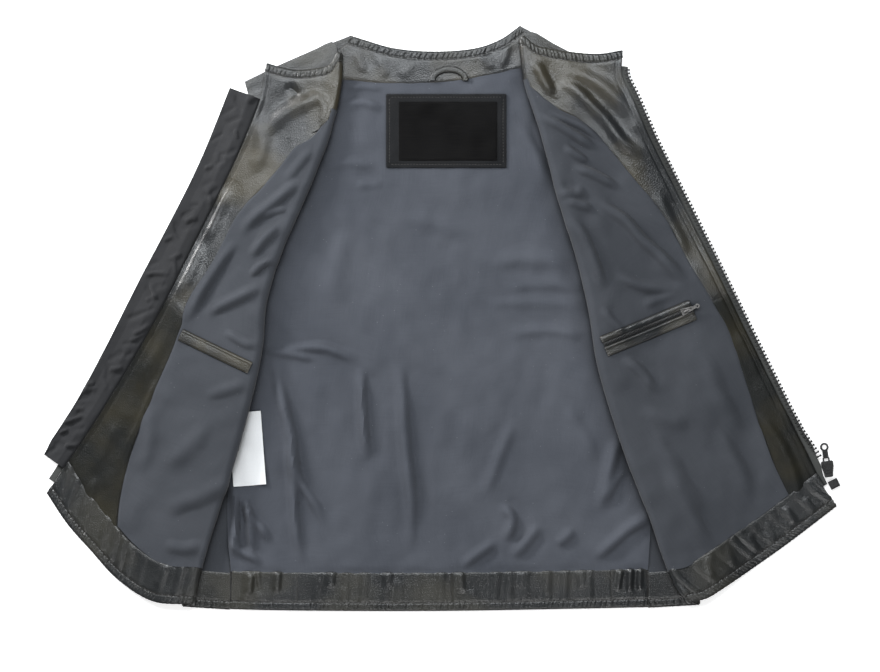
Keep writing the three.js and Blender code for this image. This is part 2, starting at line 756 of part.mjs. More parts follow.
// Lining of one front, from the side seam round both folds to the leather facing
function frontLining(front, folds) {
  const { facingReachesFold, facingEdge } = front.shape;
  const join = front.followCurve(facingEdge, -SEAM_GAP);
  const keep = (i, j) => j >= UNDER_COLUMN || front.gridRows[i] >= front.underarm;
  return frontPiece(front, {
    top: facingReachesFold + SEAM_SHARE,
    bottom: front.fromHem(HEM_DEPTH + HEM_SEAM),
    near: SEAM_START,
    far: join,
    thickness: CLOTH,
    raise: (point) => lift(folds, point),
    keep,
  });
}

// Leather facing of one front, in an upper and a lower piece. The upper one rounds the fold.
function upperFacing(front) {
  const { facingReachesFold, facingEdge, facingJoint } = front.shape;
  const join = front.followCurve(facingEdge, SEAM_GAP);
  return frontPiece(front, {
    top: front.fromNeck(TOPSTITCHED_EDGE + SEAM_GAP),
    bottom: facingJoint - SEAM_SHARE,
    near: (down) => (down <= facingReachesFold ? FOLD - FACING_TUCK : join(down)),
    keep: (i, j) => j >= TOP_COLUMN || front.gridRows[i] < facingReachesFold,
  });
}

function lowerFacing(front) {
  const { facingEdge, facingJoint } = front.shape;
  return frontPiece(front, {
    top: facingJoint + SEAM_SHARE,
    bottom: front.fromHem(HEM_DEPTH + HEM_SEAM),
    near: front.followCurve(facingEdge, SEAM_GAP),
  });
}

// The strips of leather turned over and topstitched along a front's neckline and hem
function frontNeckEdge(front) {
  return frontPiece(front, { bottom: front.fromNeck(TOPSTITCHED_EDGE), near: FOLD });
}

function frontHemEdge(front) {
  return frontPiece(front, { top: front.fromHem(TOPSTITCHED_EDGE), near: SEAM_START });
}

function frontHemFacing(front) {
  return frontPiece(front, {
    top: front.fromHem(HEM_DEPTH),
    bottom: front.fromHem(TOPSTITCHED_EDGE + SEAM_GAP),
    near: SEAM_START,
  });
}

// A point of a surface that lies flat on the table, and a piece over a plan patch
const flat = (point) => ({ point: point.clone().setZ(0), normal: UP });

function flatPiece({ plan, rows, columns, base, thickness, raise = () => 0 }) {
  const at = (i, j) => {
    const place = flat(plan(i / rows, j / columns));
    place.point.z = raise(place.point);
    return place;
  };
  return wall({ rows, columns, at, inner: base, outer: base + thickness });
}

// A band between two distances from a plan curve, on its lower side
function bandAlong(curve, from, to, start = 0, end = 1) {
  return (down, along) => {
    const share = THREE.MathUtils.lerp(start, end, along);
    const before = curve.at(share - SLOPE_STEP);
    const direction = curve.at(share + SLOPE_STEP).sub(before).normalize();
    const inward = new THREE.Vector3(direction.y, -direction.x, 0);
    return curve.at(share).addScaledVector(inward, THREE.MathUtils.lerp(from, to, down));
  };
}

const right = foldedFront(RIGHT, RIGHT_SHELL_FOLDS);
const left = foldedFront(LEFT, LEFT_SHELL_FOLDS);

const backNeck = curveThrough(BACK_NECK);
const backHem = curveThrough([...BACK_HEM].reverse());
const neckFacingEdge = curveThrough(NECK_FACING_EDGE);

// The back's leather panel, one flat plate from neck to hem and from side seam to side seam
function backShell() {
  const armhole = (shape) => shape.armholeAndSide.slice(0, 6);
  const smoothed = (points, steps) => curveThrough(points).samples.filter((_, i) => i % steps === 0);
  const shoulderAndArm = (shape) => [
    ...shape.shoulder.map(({ x, y }) => new THREE.Vector3(x, y, 0)),
    ...smoothed(armhole(shape), 20).slice(0, -1),
  ];
  const seam = (shape) =>
    smoothed(shape.sideSeam, 30).map(({ x, y }) => ({ x: x - shape.side * SEAM_GAP, y }));
  const outline = [
    ...smoothed(BACK_NECK, 15),
    ...shoulderAndArm(LEFT),
    ...seam(LEFT),
    ...smoothed([...BACK_HEM].reverse(), 20).slice(1, -1),
    ...seam(RIGHT).reverse(),
    ...shoulderAndArm(RIGHT).reverse(),
  ];
  const shape = new THREE.Shape(outline.map(({ x, y }) => new THREE.Vector2(x, y)));
  return new THREE.ExtrudeGeometry(shape, { depth: LEATHER, bevelEnabled: false });
}

// The back lining, between the neck facing, the armholes and side seams, and the hem facing
function backLining() {
  const hemLine = bandAlong(backHem, 0, HEM_LINING);
  const moved = (shape, points, gap) => points.map(({ x, y }) => ({ x: x - shape.side * gap, y }));
  const side = (shape, top) => {
    const armhole = moved(shape, shape.armholeAndSide.slice(1, 5), LINING_INSIDE_ARMHOLE);
    const seam = moved(shape, shape.sideSeam.slice(1, -1), LINING_INSIDE_SEAM);
    return curveThrough([top, ...armhole, ...seam, hemLine(1, shape.side < 0 ? 0.995 : 0.005)]);
  };
  const bottom = { at: (across) => hemLine(1, 0.995 - 0.99 * across) };
  const plan = patch(
    side(RIGHT, NECK_FACING_EDGE[0]),
    side(LEFT, NECK_FACING_EDGE.at(-1)),
    neckFacingEdge,
    bottom,
  );
  const raise = (point) => lift(BACK_LINING_FOLDS, point);
  return flatPiece({ plan, rows: 20, columns: 18, base: LINING_BASE, thickness: CLOTH, raise });
}

// The leather facing inside the back's neck, running out under both fronts
function neckFacing() {
  const underEdge = bandAlong(backNeck, 0, TOPSTITCHED_EDGE + SEAM_GAP);
  const upper = [
    new THREE.Vector3(-196, 256, 0),
    new THREE.Vector3(-150, 275, 0),
    ...evenly(0, 1, NECK_STEPS).map((along) => underEdge(1, along)),
    new THREE.Vector3(134, 288, 0),
    new THREE.Vector3(178, 264, 0),
  ];
  const columns = upper.length - 1;
  const lower = (across) => neckFacingEdge.at(across).add(new THREE.Vector3(0, HEM_SEAM, 0));
  const plan = (down, across) => upper[Math.round(across * columns)].clone().lerp(lower(across), down);
  return flatPiece({ plan, rows: 1, columns, base: LINING_BASE, thickness: LEATHER });
}

add("back_shell", backShell(), blackLeather);
add("back_lining", backLining(), liningCloth);
add("back_neck_facing", neckFacing(), blackLeather);
const neckBand = bandAlong(backNeck, 0, TOPSTITCHED_EDGE);
const onBackShell = { base: LINING_BASE, thickness: LEATHER };
const neckEdge = flatPiece({ plan: neckBand, rows: 1, columns: NECK_STEPS, ...onBackShell });
add("back_neck_edge", neckEdge, blackLeather);
const hemBand = bandAlong(backHem, 0, TOPSTITCHED_EDGE, 0.001, 0.999);
add("back_hem_edge", flatPiece({ plan: hemBand, rows: 1, columns: 16, ...onBackShell }), blackLeather);

// The hem facing of the back, in pieces between its joints
const hemShare = (x) => (BACK_HEM.at(-1).x - x) / (BACK_HEM.at(-1).x - BACK_HEM[0].x);
const hemEnds = [BACK_HEM.at(-1).x - 0.5, ...[...BACK_HEM_JOINTS].reverse(), BACK_HEM[0].x + 0.5];
for (let piece = 0; piece + 1 < hemEnds.length; piece += 1) {
  const [start, end] = [hemShare(hemEnds[piece] - SEAM_GAP), hemShare(hemEnds[piece + 1] + SEAM_GAP)];
  const plan = bandAlong(backHem, TOPSTITCHED_EDGE + SEAM_GAP, HEM_DEPTH, start, end);
  const geometry = flatPiece({ plan, rows: 1, columns: 5, ...onBackShell });
  add(`back_hem_facing_${piece + 1}`, geometry, blackLeather);
}

for (const front of [right, left]) {
  const { name } = front.shape;
  const liningFolds = front === right ? RIGHT_LINING_FOLDS : LEFT_LINING_FOLDS;
  add(`${name}_front_shell`, frontShell(front), blackLeather);
  add(`${name}_front_lining`, frontLining(front, liningFolds), liningCloth);
  add(`${name}_front_facing_upper`, upperFacing(front), blackLeather);
  add(`${name}_front_facing_lower`, lowerFacing(front), blackLeather);
  add(`${name}_neck_edge`, frontNeckEdge(front), blackLeather);
  add(`${name}_hem_edge`, frontHemEdge(front), blackLeather);
  add(`${name}_hem_facing`, frontHemFacing(front), blackLeather);
}

// A flat panel on the back lining, turned about its centre
function panelOn(panel, base, thickness) {
  const turn = THREE.MathUtils.degToRad(panel.turn ?? 0);
  const plan = (down, across) => {
    const corner = new THREE.Vector3(panel.width * (across - 0.5), panel.height * (0.5 - down), 0);
    return corner.applyAxisAngle(UP, turn).add(new THREE.Vector3(panel.x, panel.y, 0));
  };
  const raise = (point) => lift(BACK_LINING_FOLDS, point);
  return flatPiece({ plan, rows: LABEL_STEPS, columns: LABEL_STEPS, base, thickness, raise });
}

const onLining = LINING_BASE + CLOTH + SEAM_GAP;
const onLabel = onLining + LEATHER + SEAM_GAP;
add("label_frame", panelOn(LABEL, onLining, LEATHER), blackLeather);
add("label_face", panelOn(LABEL_FACE, onLabel, LABEL_CLOTH), satin);
add("care_label", panelOn(CARE_LABEL, onLining, LABEL_CLOTH), whiteLabel);

function hangerLoop() {
  const plan = (down, along) => {
    const turn = Math.PI * along;
    const inner = THREE.MathUtils.lerp(0, LOOP.width, down);
    const x = LOOP.x - Math.cos(turn) * (LOOP.reach - inner);
    return new THREE.Vector3(x, LOOP.y + Math.sin(turn) * (LOOP.rise - inner), 0);
  };
  const base = LINING_BASE + LEATHER + SEAM_GAP;
  return flatPiece({ plan, rows: 1, columns: LOOP.steps, base, thickness: LOOP.thickness });
}
add("hanger_loop", hangerLoop(), blackLeather);

// A value read from a table's column at a place along another column
function readTable(table, keyColumn, valueColumn, place) {
  const rows = table.map((row) => row[keyColumn]);
  const [cell, share] = cellOf(rows, THREE.MathUtils.clamp(place, rows[0], rows.at(-1)));
  return THREE.MathUtils.lerp(table[cell][valueColumn], table[cell + 1][valueColumn], share);
}

// A strip beyond the front edge of a folded front, from one distance outwards to another
function edgeStrip(front, { start, end, rows = ZIP_ROWS, from, to, middle, thickness }) {
  const at = (i, j) => {
    const down = THREE.MathUtils.lerp(start, end, i / rows);
    const out = acrossCurve(front.frontEdge, down, front.shape.side);
    const distance = j ? to(down) : from(down);
    const { point } = front.surfaceAt(down, EDGE);
    const height = point.z - SHELL_HEIGHT + middle(down, j);
    return { point: point.addScaledVector(out, distance).setZ(height), normal: UP };
  };
  return wall({ rows, columns: 1, at, inner: -thickness / 2, outer: thickness / 2 });
}

const always = (value) => () => value;
const chainLevel = always(CHAIN_THICKNESS / 2);

// Right half of the zip, under the wind flap: tape, chain and the pin at its lower end
function rightTape() {
  const [from, to, middle] = [SEAM_GAP, CHAIN_INSIDE - SEAM_GAP, TAPE_HEIGHT].map(always);
  const [start, end] = [RIGHT_ZIP_STARTS, RIGHT_TAPE_ENDS];
  return edgeStrip(right, { start, end, from, to, middle, thickness: TAPE_THICKNESS });
}

function rightTeeth({ start, end, rows, width }) {
  const [from, to] = [CHAIN_INSIDE, CHAIN_INSIDE + width].map(always);
  const thickness = CHAIN_THICKNESS;
  return edgeStrip(right, { start, end, rows, from, to, middle: chainLevel, thickness });
}

add("right_zip_tape", rightTape(), zipTapeCloth);
const rightChain = { start: RIGHT_ZIP_STARTS, end: RIGHT_CHAIN_ENDS, width: CHAIN_WIDTH };
add("right_zip_chain", rightTeeth(rightChain), zipPlastic);
const pin = { start: RIGHT_CHAIN_ENDS + SEAM_SHARE, end: PIN_ENDS, rows: 2, width: PIN_WIDTH };
add("right_zip_pin", rightTeeth(pin), zipPlastic);

// Left half of the zip, which shows beside the leather
const leftHeight = (down) => readTable(LEFT_TAPE, "down", "height", down);
const leftReach = (down) => readTable(LEFT_TAPE, "down", "reach", down);
const leftTape = edgeStrip(left, {
  start: LEFT_ZIP_STARTS,
  end: LEFT_TAPE_ENDS,
  rows: 44,
  from: always(SEAM_GAP),
  to: leftReach,
  middle: (down, outer) => (outer ? leftHeight(down) : TAPE_HEIGHT),
  thickness: TAPE_THICKNESS,
});
const leftChain = edgeStrip(left, {
  start: LEFT_ZIP_STARTS,
  end: LEFT_CHAIN_ENDS,
  rows: 44,
  from: (down) => leftReach(down) + SEAM_GAP + 0.2,
  to: (down) => leftReach(down) + SEAM_GAP + CHAIN_WIDTH,
  middle: leftHeight,
  thickness: CHAIN_THICKNESS,
});
add("left_zip_tape", leftTape, zipTapeCloth);
add("left_zip_chain", leftChain, zipPlastic);

// The wind flap, a doubled strip of cloth from the right front's edge over its zip
function windFlap() {
  const outer = curveThrough(FLAP_OUTER);
  const between = right.gridRows.filter((down) => down > FLAP_STARTS && down < FLAP_ENDS);
  const rows = [FLAP_STARTS, ...between, FLAP_ENDS];
  const at = (i, j) => {
    const { across, height } = FLAP_SECTION[j];
    const share = (rows[i] - FLAP_STARTS) / (FLAP_ENDS - FLAP_STARTS);
    const out = acrossCurve(right.frontEdge, rows[i], RIGHT.side);
    const inside = right.surfaceAt(rows[i], EDGE).point;
    const raised = (inside.z - SHELL_HEIGHT) * Math.min(1, (1 - across) / FLAP_LEVEL);
    const place = inside.addScaledVector(out, 2 * SEAM_GAP).lerp(outer.at(share), across);
    return { point: place.setZ(height + raised), normal: UP };
  };
  const size = { rows: rows.length - 1, columns: FLAP_SECTION.length - 1 };
  return wall({ ...size, at, inner: -CLOTH / 2, outer: CLOTH / 2 });
}
add("wind_flap", windFlap(), flapCloth);

// Solids that are joined from simple shapes, for the hard parts of the zips
const kernel = await Module();
kernel.setup();

function solidOf(geometry) {
  const plain = geometry.clone();
  plain.deleteAttribute("normal");
  plain.deleteAttribute("uv");
  const { attributes, index } = mergeVertices(plain);
  const vertProperties = new Float32Array(attributes.position.array);
  const triVerts = new Uint32Array(index.array);
  return new kernel.Manifold(new kernel.Mesh({ numProp: 3, vertProperties, triVerts }));
}

function joined(shapes, holes = []) {
  const whole = kernel.Manifold.union(shapes.map(solidOf));
  const { vertProperties, triVerts } = holes.reduce((rest, hole) => rest.subtract(solidOf(hole)), whole)
    .getMesh();
  const geometry = new THREE.BufferGeometry();
  geometry.setAttribute("position", new THREE.Float32BufferAttribute(vertProperties, 3));
  geometry.setIndex(Array.from(triVerts));
  return geometry;
}

// A block between two corners, given as [across, along, up]
function block(low, high) {
  const [start, end] = [new THREE.Vector3(...low), new THREE.Vector3(...high)];
  const size = end.clone().sub(start);
  const middle = start.add(end).divideScalar(2);
  return new THREE.BoxGeometry(...size.toArray()).translate(...middle.toArray());
}

function plate(outline, base, thickness) {
  const corners = [
    ...outline.map(({ along, half }) => new THREE.Vector2(half, along)),
    ...[...outline].reverse().map(({ along, half }) => new THREE.Vector2(-half, along)),
  ];
  const options = { depth: thickness, bevelEnabled: false };
  return new THREE.ExtrudeGeometry(new THREE.Shape(corners), options).translate(0, 0, base);
}

function disc(radius, thickness, along, base, steps) {
  const geometry = new THREE.CylinderGeometry(radius, radius, thickness, steps);
  return geometry.rotateX(Math.PI / 2).translate(0, along, base + thickness / 2);
}

// A bridge over a slider's plate that the pull tab hangs from: "way" is 1 for up, -1 for down
function bridgeOn(bridge, from, way) {
  const { width, leg, opening, bar } = bridge;
  const level = (height) => from + way * height;
  const part = (start, end, low, high) => {
    const heights = [level(low), level(high)].sort((a, b) => a - b);
    return block([-width / 2, start, heights[0]], [width / 2, end, heights[1]]);
  };
  return [
    part(bridge.from, bridge.to, opening, opening + bar),
    part(bridge.from, bridge.from + leg, -BRIDGE_ROOT, opening + BRIDGE_ROOT),
    part(bridge.to - leg, bridge.to, -BRIDGE_ROOT, opening + BRIDGE_ROOT),
  ];
}

// A pull tab that lies along its slider, with a window round the bridge and a ring at its end
function pullTab(pull, window, ring, axisHeight) {
  const { bar, half, neckHalf, neckFrom, hinge, length } = pull;
  const base = axisHeight - bar / 2;
  const ringAt = hinge + length - ring.radius;
  const outline = [
    { along: hinge - bar / 2, half },
    { along: hinge + neckFrom - 1, half },
    { along: hinge + neckFrom, half: neckHalf },
    { along: ringAt, half: neckHalf },
  ];
  const [low, high] = [base - 1, axisHeight + bar];
  const opening = block([-window.half, hinge + window.from, low], [window.half, hinge + window.to, high]);
  const hole = disc(ring.hole, bar + 2, ringAt, low, ring.steps);
  const body = [plate(outline, base, bar), disc(ring.radius, bar, ringAt, base, ring.steps)];
  return joined(body, [opening, hole]);
}

function placed(geometry, { x, y, turn }) {
  return geometry.rotateZ(THREE.MathUtils.degToRad(turn)).translate(x, y, 0);
}

// The main slider: two plates joined by a post at the mouth, ribs above and a bridge below
function mainSlider() {
  const low = BRIDGE.clear + BRIDGE.bar + BRIDGE.opening;
  const high = low + PLATE + PLATE_SPACE;
  const top = high + PLATE;
  const ribs = RIBS.at.map((along) =>
    block([-RIBS.width / 2, along - RIBS.length / 2, top - PLATE / 2],
      [RIBS.width / 2, along + RIBS.length / 2, top + RIBS.height]));
  const post = block([-1.3, 4.6, low + PLATE / 2], [1.3, 8.4, high + PLATE / 2]);
  const plates = [plate(SLIDER_OUTLINE, low, PLATE), plate(SLIDER_OUTLINE, high, PLATE)];
  return joined([...plates, post, ...ribs, ...bridgeOn(BRIDGE, low, -1)]);
}

const pullHeight = BRIDGE.clear + BRIDGE.bar + BRIDGE.opening / 2;
add("zip_slider", placed(mainSlider(), SLIDER), zipPlastic);
add("zip_pull", placed(pullTab(PULL, PULL_WINDOW, PULL_RING, pullHeight), SLIDER), zipPlastic);

function retainerBox() {
  const { width, length, low, high } = RETAINER;
  const step = 1.6;
  return joined([
    block([-width / 2, -length / 2, low + step], [width / 2, length / 2, high - step]),
    block([-width / 2 + step, -length / 2 + step, low], [width / 2 - step, length / 2 - step, high]),
  ]);
}
add("zip_retainer_box", placed(retainerBox(), RETAINER), zipPlastic);

// A point of a loose lining on an upper leaf, by its plan place
function onLeaf(front, folds, x, y) {
  const { down, across } = front.placeOf(x, y);
  const { point, normal } = front.surfaceAt(down, TOP + across);
  return { point: point.addScaledVector(normal, smooth(across * 4) * lift(folds, point)), normal };
}

// A band beside a line on an upper leaf, between two distances across it: "across" 0 to 1
function leafBand(front, folds, line, from, to) {
  const start = new THREE.Vector3(line.fromX, line.fromY, 0);
  const end = new THREE.Vector3(line.toX, line.toY, 0);
  const along = end.clone().sub(start).normalize();
  const up = new THREE.Vector3(-along.y, along.x, 0);
  return (share, across) => {
    const { x, y } = start.clone().lerp(end, share)
      .addScaledVector(up, THREE.MathUtils.lerp(from, to, across));
    return onLeaf(front, folds, x, y);
  };
}

const ON_LINING = ON_SHELL + CLOTH + WELT_CLEARANCE;
function pocketBand({ from, to, thickness }) {
  const band = leafBand(left, LEFT_LINING_FOLDS, ZIP_POCKET, from, to);
  const at = (i, j) => band(i / POCKET_STEPS, j);
  const size = { rows: POCKET_STEPS, columns: 1 };
  return wall({ ...size, at, inner: ON_LINING, outer: ON_LINING + thickness });
}
const pocketChain = { from: -POCKET_CHAIN.half, to: POCKET_CHAIN.half, thickness: POCKET_CHAIN.thickness };
add("pocket_zip_chain", pocketBand(pocketChain), zipPlastic);
add("left_pocket_welt_upper", pocketBand(POCKET_WELT), blackLeather);
add("left_pocket_welt_lower", pocketBand(LOWER_WELT), blackLeather);

// The pocket's slider lies on its chain, turned and tilted with the cloth below it
function pocketFrame() {
  const { fromX, fromY, toX, toY } = ZIP_POCKET;
  const along = new THREE.Vector3(toX - fromX, toY - fromY, 0).normalize();
  const [x, y] = [[fromX, toX], [fromY, toY]].map(([a, b]) => THREE.MathUtils.lerp(a, b, POCKET_SLIDER_AT));
  const { point, normal } = onLeaf(left, LEFT_LINING_FOLDS, x, y);
  const across = along.clone().cross(normal).normalize();
  const forward = normal.clone().cross(across);
  const base = point.addScaledVector(normal, ON_LINING + POCKET_CHAIN.thickness + SLIDER_LIFT);
  return new THREE.Matrix4().makeBasis(across, forward, normal.clone().normalize()).setPosition(base);
}

const onPocket = pocketFrame();
const pocketSlider = joined([
  plate(POCKET_OUTLINE, 0, POCKET_PLATE),
  ...bridgeOn(POCKET_BRIDGE, POCKET_PLATE, 1),
]);
const pocketPullHeight = POCKET_PLATE + POCKET_BRIDGE.opening / 2;
const pocketPull = pullTab(POCKET_PULL, POCKET_WINDOW, POCKET_RING, pocketPullHeight);
add("pocket_zip_slider", pocketSlider.applyMatrix4(onPocket), zipMetal);
add("pocket_zip_pull", pocketPull.applyMatrix4(onPocket), zipMetal);

// The open pocket's leather band, which ends where the front folds
function weltBand() {
  const { half, thickness } = WELT_POCKET;
  const band = leafBand(right, RIGHT_LINING_FOLDS, WELT_POCKET, -half, half);
  const at = (i, j) => band(i / WELT_STEPS, j);
  return wall({ rows: WELT_STEPS, columns: 1, at, inner: ON_LINING, outer: ON_LINING + thickness });
}
add("right_pocket_welt", weltBand(), blackLeather);

export default vest;
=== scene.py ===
# %% [markdown]
# # A leather vest, laid open on its back
# The real vest is black cowhide with a cotton lining. It lies on its back with both fronts folded
# outwards, so most of what shows is the lining, the leather facings and the inside of the zip.
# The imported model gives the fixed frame: every piece below is built in its place, in metres.

import math

import bpy
import numpy as np
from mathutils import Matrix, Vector


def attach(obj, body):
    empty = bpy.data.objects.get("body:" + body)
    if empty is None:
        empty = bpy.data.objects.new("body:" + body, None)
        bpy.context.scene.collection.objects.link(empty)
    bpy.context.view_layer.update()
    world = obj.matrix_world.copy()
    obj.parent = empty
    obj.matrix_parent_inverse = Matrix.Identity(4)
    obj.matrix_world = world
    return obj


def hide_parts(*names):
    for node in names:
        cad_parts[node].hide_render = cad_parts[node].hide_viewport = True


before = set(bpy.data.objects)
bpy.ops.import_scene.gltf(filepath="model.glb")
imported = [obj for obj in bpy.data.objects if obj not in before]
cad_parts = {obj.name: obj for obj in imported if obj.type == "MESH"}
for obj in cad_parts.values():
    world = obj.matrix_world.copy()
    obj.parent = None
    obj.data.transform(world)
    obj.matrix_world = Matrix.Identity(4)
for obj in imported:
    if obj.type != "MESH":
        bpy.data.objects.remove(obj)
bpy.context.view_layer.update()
MM = 0.001

# %% [markdown]
# ## Camera first
# The photograph looks almost straight down with a long lens, so the outline hardly shrinks with
# depth. One pixel of the 880 by 672 picture is 1.1 mm on the vest, and that sets the distance.

# %% Camera
PIXEL = 1.1 * MM
PICTURE_WIDTH = 880
LENS = 150
SENSOR = 36
ELEVATION = math.radians(86.5)
AIM = np.array([-1.1, -22.0, 6.0]) * MM


def link(made):
    bpy.context.scene.collection.objects.link(made)
    return made


camera_data = bpy.data.cameras.new("photo_camera")
camera_data.lens = LENS
camera_data.sensor_width = SENSOR
camera = link(bpy.data.objects.new("photo_camera", camera_data))
distance = PICTURE_WIDTH * PIXEL * LENS / SENSOR
towards = np.array([0, -math.cos(ELEVATION), math.sin(ELEVATION)])
camera.location = AIM + towards * distance
camera.rotation_euler = (math.pi / 2 - ELEVATION, 0, 0)
camera_data.clip_end = 50
bpy.context.scene.camera = camera
print(f"camera {distance:.2f} m away")

# %% [markdown]
# ## The pattern of the vest
# A maker starts from a paper pattern. These tables are that pattern as it lies: plan points in
# millimetres, +X to the wearer's left and +Y to the neck. Each line runs from neck to hem.

# %% Outlines of the panels as they lie
BACK_NECK = [(-101, 311), (-82, 305), (-54, 297), (-9, 293), (40, 297), (67, 307), (88, 322)]
BACK_HEM = [(-231, -321), (-199, -322), (-122, -323), (10, -323), (131, -321), (227, -319)]
NECK_FACING_EDGE = [(-206, 249), (-155, 257), (-109, 262), (-74, 259), (-25, 258), (15, 261),
                    (64, 269), (91, 275), (147, 266), (199, 251)]
FLAP_OUTER = [(-233, 253), (-267, 169), (-331, 42), (-399, -90), (-438, -151)]
RIGHT = dict(
    name="right", side=-1,
    fold=[(-111, 290), (-111, 272), (-112, 255), (-119, 220), (-143, 150), (-177, 70), (-194, 13),
          (-198, -35), (-212, -101), (-241, -202), (-264, -276), (-272, -316)],
    front_edge=[(-193, 279), (-199, 242), (-226, 174), (-268, 88), (-311, 2), (-371, -101),
                (-413, -165), (-432, -194)],
    neckline=[(-122, 277), (-142, 272), (-161, 271), (-180, 275)],
    hem=[(-315, -312), (-353, -289), (-384, -256), (-409, -228)],
    armhole_and_side=[(-217, 260), (-210, 235), (-198, 185), (-197, 135), (-215, 75), (-241, 38),
                      (-264, 15), (-272, -60), (-277, -190), (-281, -318)],
    shoulder=[(-118, 304), (-141, 295), (-182, 277)],
    side_seam=[(-241, 38), (-233, -200), (-231, -321)],
    facing_edge=[(-105, 232), (-130, 211), (-152, 193), (-186, 152), (-222, 112), (-251, 56),
                 (-279, 13), (-286, -13), (-296, -42), (-312, -79), (-335, -134), (-351, -200),
                 (-355, -260)],
    facing_reaches_fold=0.1, facing_joint=0.53,
)
LEFT = dict(
    name="left", side=1,
    fold=[(89, 308), (90, 288), (94, 257), (109, 211), (129, 136), (150, 66), (164, 7), (173, -51),
          (197, -134), (228, -215), (255, -289), (272, -314)],
    front_edge=[(201, 293), (199, 267), (210, 242), (230, 196), (252, 152), (274, 108), (318, 18),
                (362, -72), (395, -139), (418, -184), (434, -208)],
    neckline=[(103, 299), (117, 295), (143, 291), (175, 289)],
    hem=[(290, -309), (307, -299), (373, -254)],
    armhole_and_side=[(210, 262), (205, 235), (194, 185), (193, 135), (210, 75), (237, 38),
                      (262, 15), (270, -60), (276, -190), (281, -316)],
    shoulder=[(97, 316), (125, 302), (160, 284)],
    side_seam=[(237, 38), (229, -200), (227, -319)],
    facing_edge=[(85, 266), (101, 250), (122, 240), (144, 223), (172, 199), (212, 152), (248, 106),
                 (275, 54), (297, 18), (315, -15), (336, -75), (353, -129), (366, -165),
                 (388, -210)],
    facing_reaches_fold=0.072, facing_joint=0.53,
)

# %% Heights and widths of the layers, in millimetres
LEATHER = 1.2
CLOTH = 1.0
LAYER_GAP = 0.5
TOPSTITCHED_EDGE = 9
HEM_DEPTH = 41
UNDER_LEAF_HEIGHT = 6
SHELL_HEIGHT = LEATHER / 2
ON_SHELL = LEATHER / 2 + LAYER_GAP
LINING_BASE = LEATHER + LAYER_GAP
SIDE_FOLD_RADIUS = (UNDER_LEAF_HEIGHT - SHELL_HEIGHT) / 2
STACK_HEIGHT = UNDER_LEAF_HEIGHT + LEATHER + 0.3
FOLD_RADII = (2.6, 6)
FOLD_TAPER = 0.35
FOLD_SPREAD = 78
STACK_OVERHANG = 12
STACK_SLOPE = 62
SEAM_DROP = 20
SLOPE_STEP = 0.004

# %% [markdown]
# ## Lines through a few points
# A pattern curve is a smooth line through a few points. A centripetal Catmull-Rom spline passes
# through every one of them without loops, and it is sampled evenly so that a share of its length
# always means the same place, whatever piece asks for it.


# %% Smooth plan lines
def smooth(value):
    value = np.clip(value, 0, 1)
    return value * value * (3 - 2 * value)


def mix(start, end, share):
    return start + (end - start) * share


def turned(vectors):
    """Plan vectors turned a quarter turn clockwise"""
    return np.stack([vectors[..., 1], -vectors[..., 0]], -1)


def unit(vectors):
    return vectors / np.maximum(np.linalg.norm(vectors, axis=-1, keepdims=True), 1e-9)


def run_length(points, axis=0):
    """The distance run along a line, or along the rows or columns of a grid"""
    steps = np.linalg.norm(np.diff(points, axis=axis), axis=-1)
    start = np.zeros_like(np.take(steps, [0], axis=axis))
    return np.concatenate([start, np.cumsum(steps, axis=axis)], axis=axis)


def read_line(places, keys, points):
    return np.stack([np.interp(places, keys, part) for part in points.T], -1)


class PlanLine:
    """A smooth line through plan points, read by its share of the length"""

    def __init__(self, points, samples=240):
        corners = np.array(points, float)
        ends = [2 * corners[:1] - corners[1:2], corners, 2 * corners[-1:] - corners[-2:-1]]
        padded = np.vstack(ends)
        step = np.linspace(0, 1, 40, endpoint=False)[:, None]
        stretches = []
        for a, b, c, d in zip(padded, padded[1:], padded[2:], padded[3:]):
            g, h, k = (np.linalg.norm(q - p) ** 0.5 for p, q in ((a, b), (b, c), (c, d)))
            leave = ((b - a) / g - (c - a) / (g + h) + (c - b) / h) * h
            arrive = ((c - b) / h - (d - b) / (h + k) + (d - c) / k) * h
            cubic = 2 * b - 2 * c + leave + arrive
            square = 3 * c - 3 * b - 2 * leave - arrive
            stretches.append(b + leave * step + square * step**2 + cubic * step**3)
        line = np.vstack(stretches + [corners[-1:]])
        run = run_length(line)
        self.length = run[-1]
        self.places = np.linspace(0, 1, samples + 1)
        self.points = read_line(self.places * self.length, run, line)

    def at(self, share):
        return read_line(np.clip(share, 0, 1), self.places, self.points)

    def along(self, share):
        return unit(self.at(share + SLOPE_STEP) - self.at(share - SLOPE_STEP))

    def across(self, share, side):
        out = turned(self.along(share))
        return np.where(out[..., :1] * side < 0, -out, out)


def nearest_on(points, line):
    """Signed distance from a polyline, positive on its left, and the share along it"""
    flat = points.reshape(-1, 2)
    best = np.full(len(flat), np.inf)
    sign = np.ones(len(flat))
    share = np.zeros(len(flat))
    run = run_length(line)
    for k, (start, end) in enumerate(zip(line[:-1], line[1:])):
        along = end - start
        offset = flat - start
        place = np.clip(offset @ along / max(along @ along, 1e-12), 0, 1)
        gap = np.linalg.norm(offset - place[:, None] * along, axis=1)
        closer = gap < best
        best[closer] = gap[closer]
        cross = along[0] * offset[:, 1] - along[1] * offset[:, 0]
        sign[closer] = np.where(cross[closer] < 0, -1, 1)
        share[closer] = mix(run[k], run[k + 1], place[closer]) / run[-1]
    shape = points.shape[:-1]
    return (best * sign).reshape(shape), share.reshape(shape)


# %% [markdown]
# ## Creases
# Cloth that has been folded and unfolded keeps soft creases. Each one is given as a few
# plan points with a width and a height. Its section is a ridge with a shallow trough beside it,
# and it fades out at both ends, so no two of them look alike.


# %% Crease relief
CREASE_FADE = 0.3
TROUGH_AT, TROUGH_WIDTH, TROUGH_DEPTH = 2.1, 1.5, 0.4


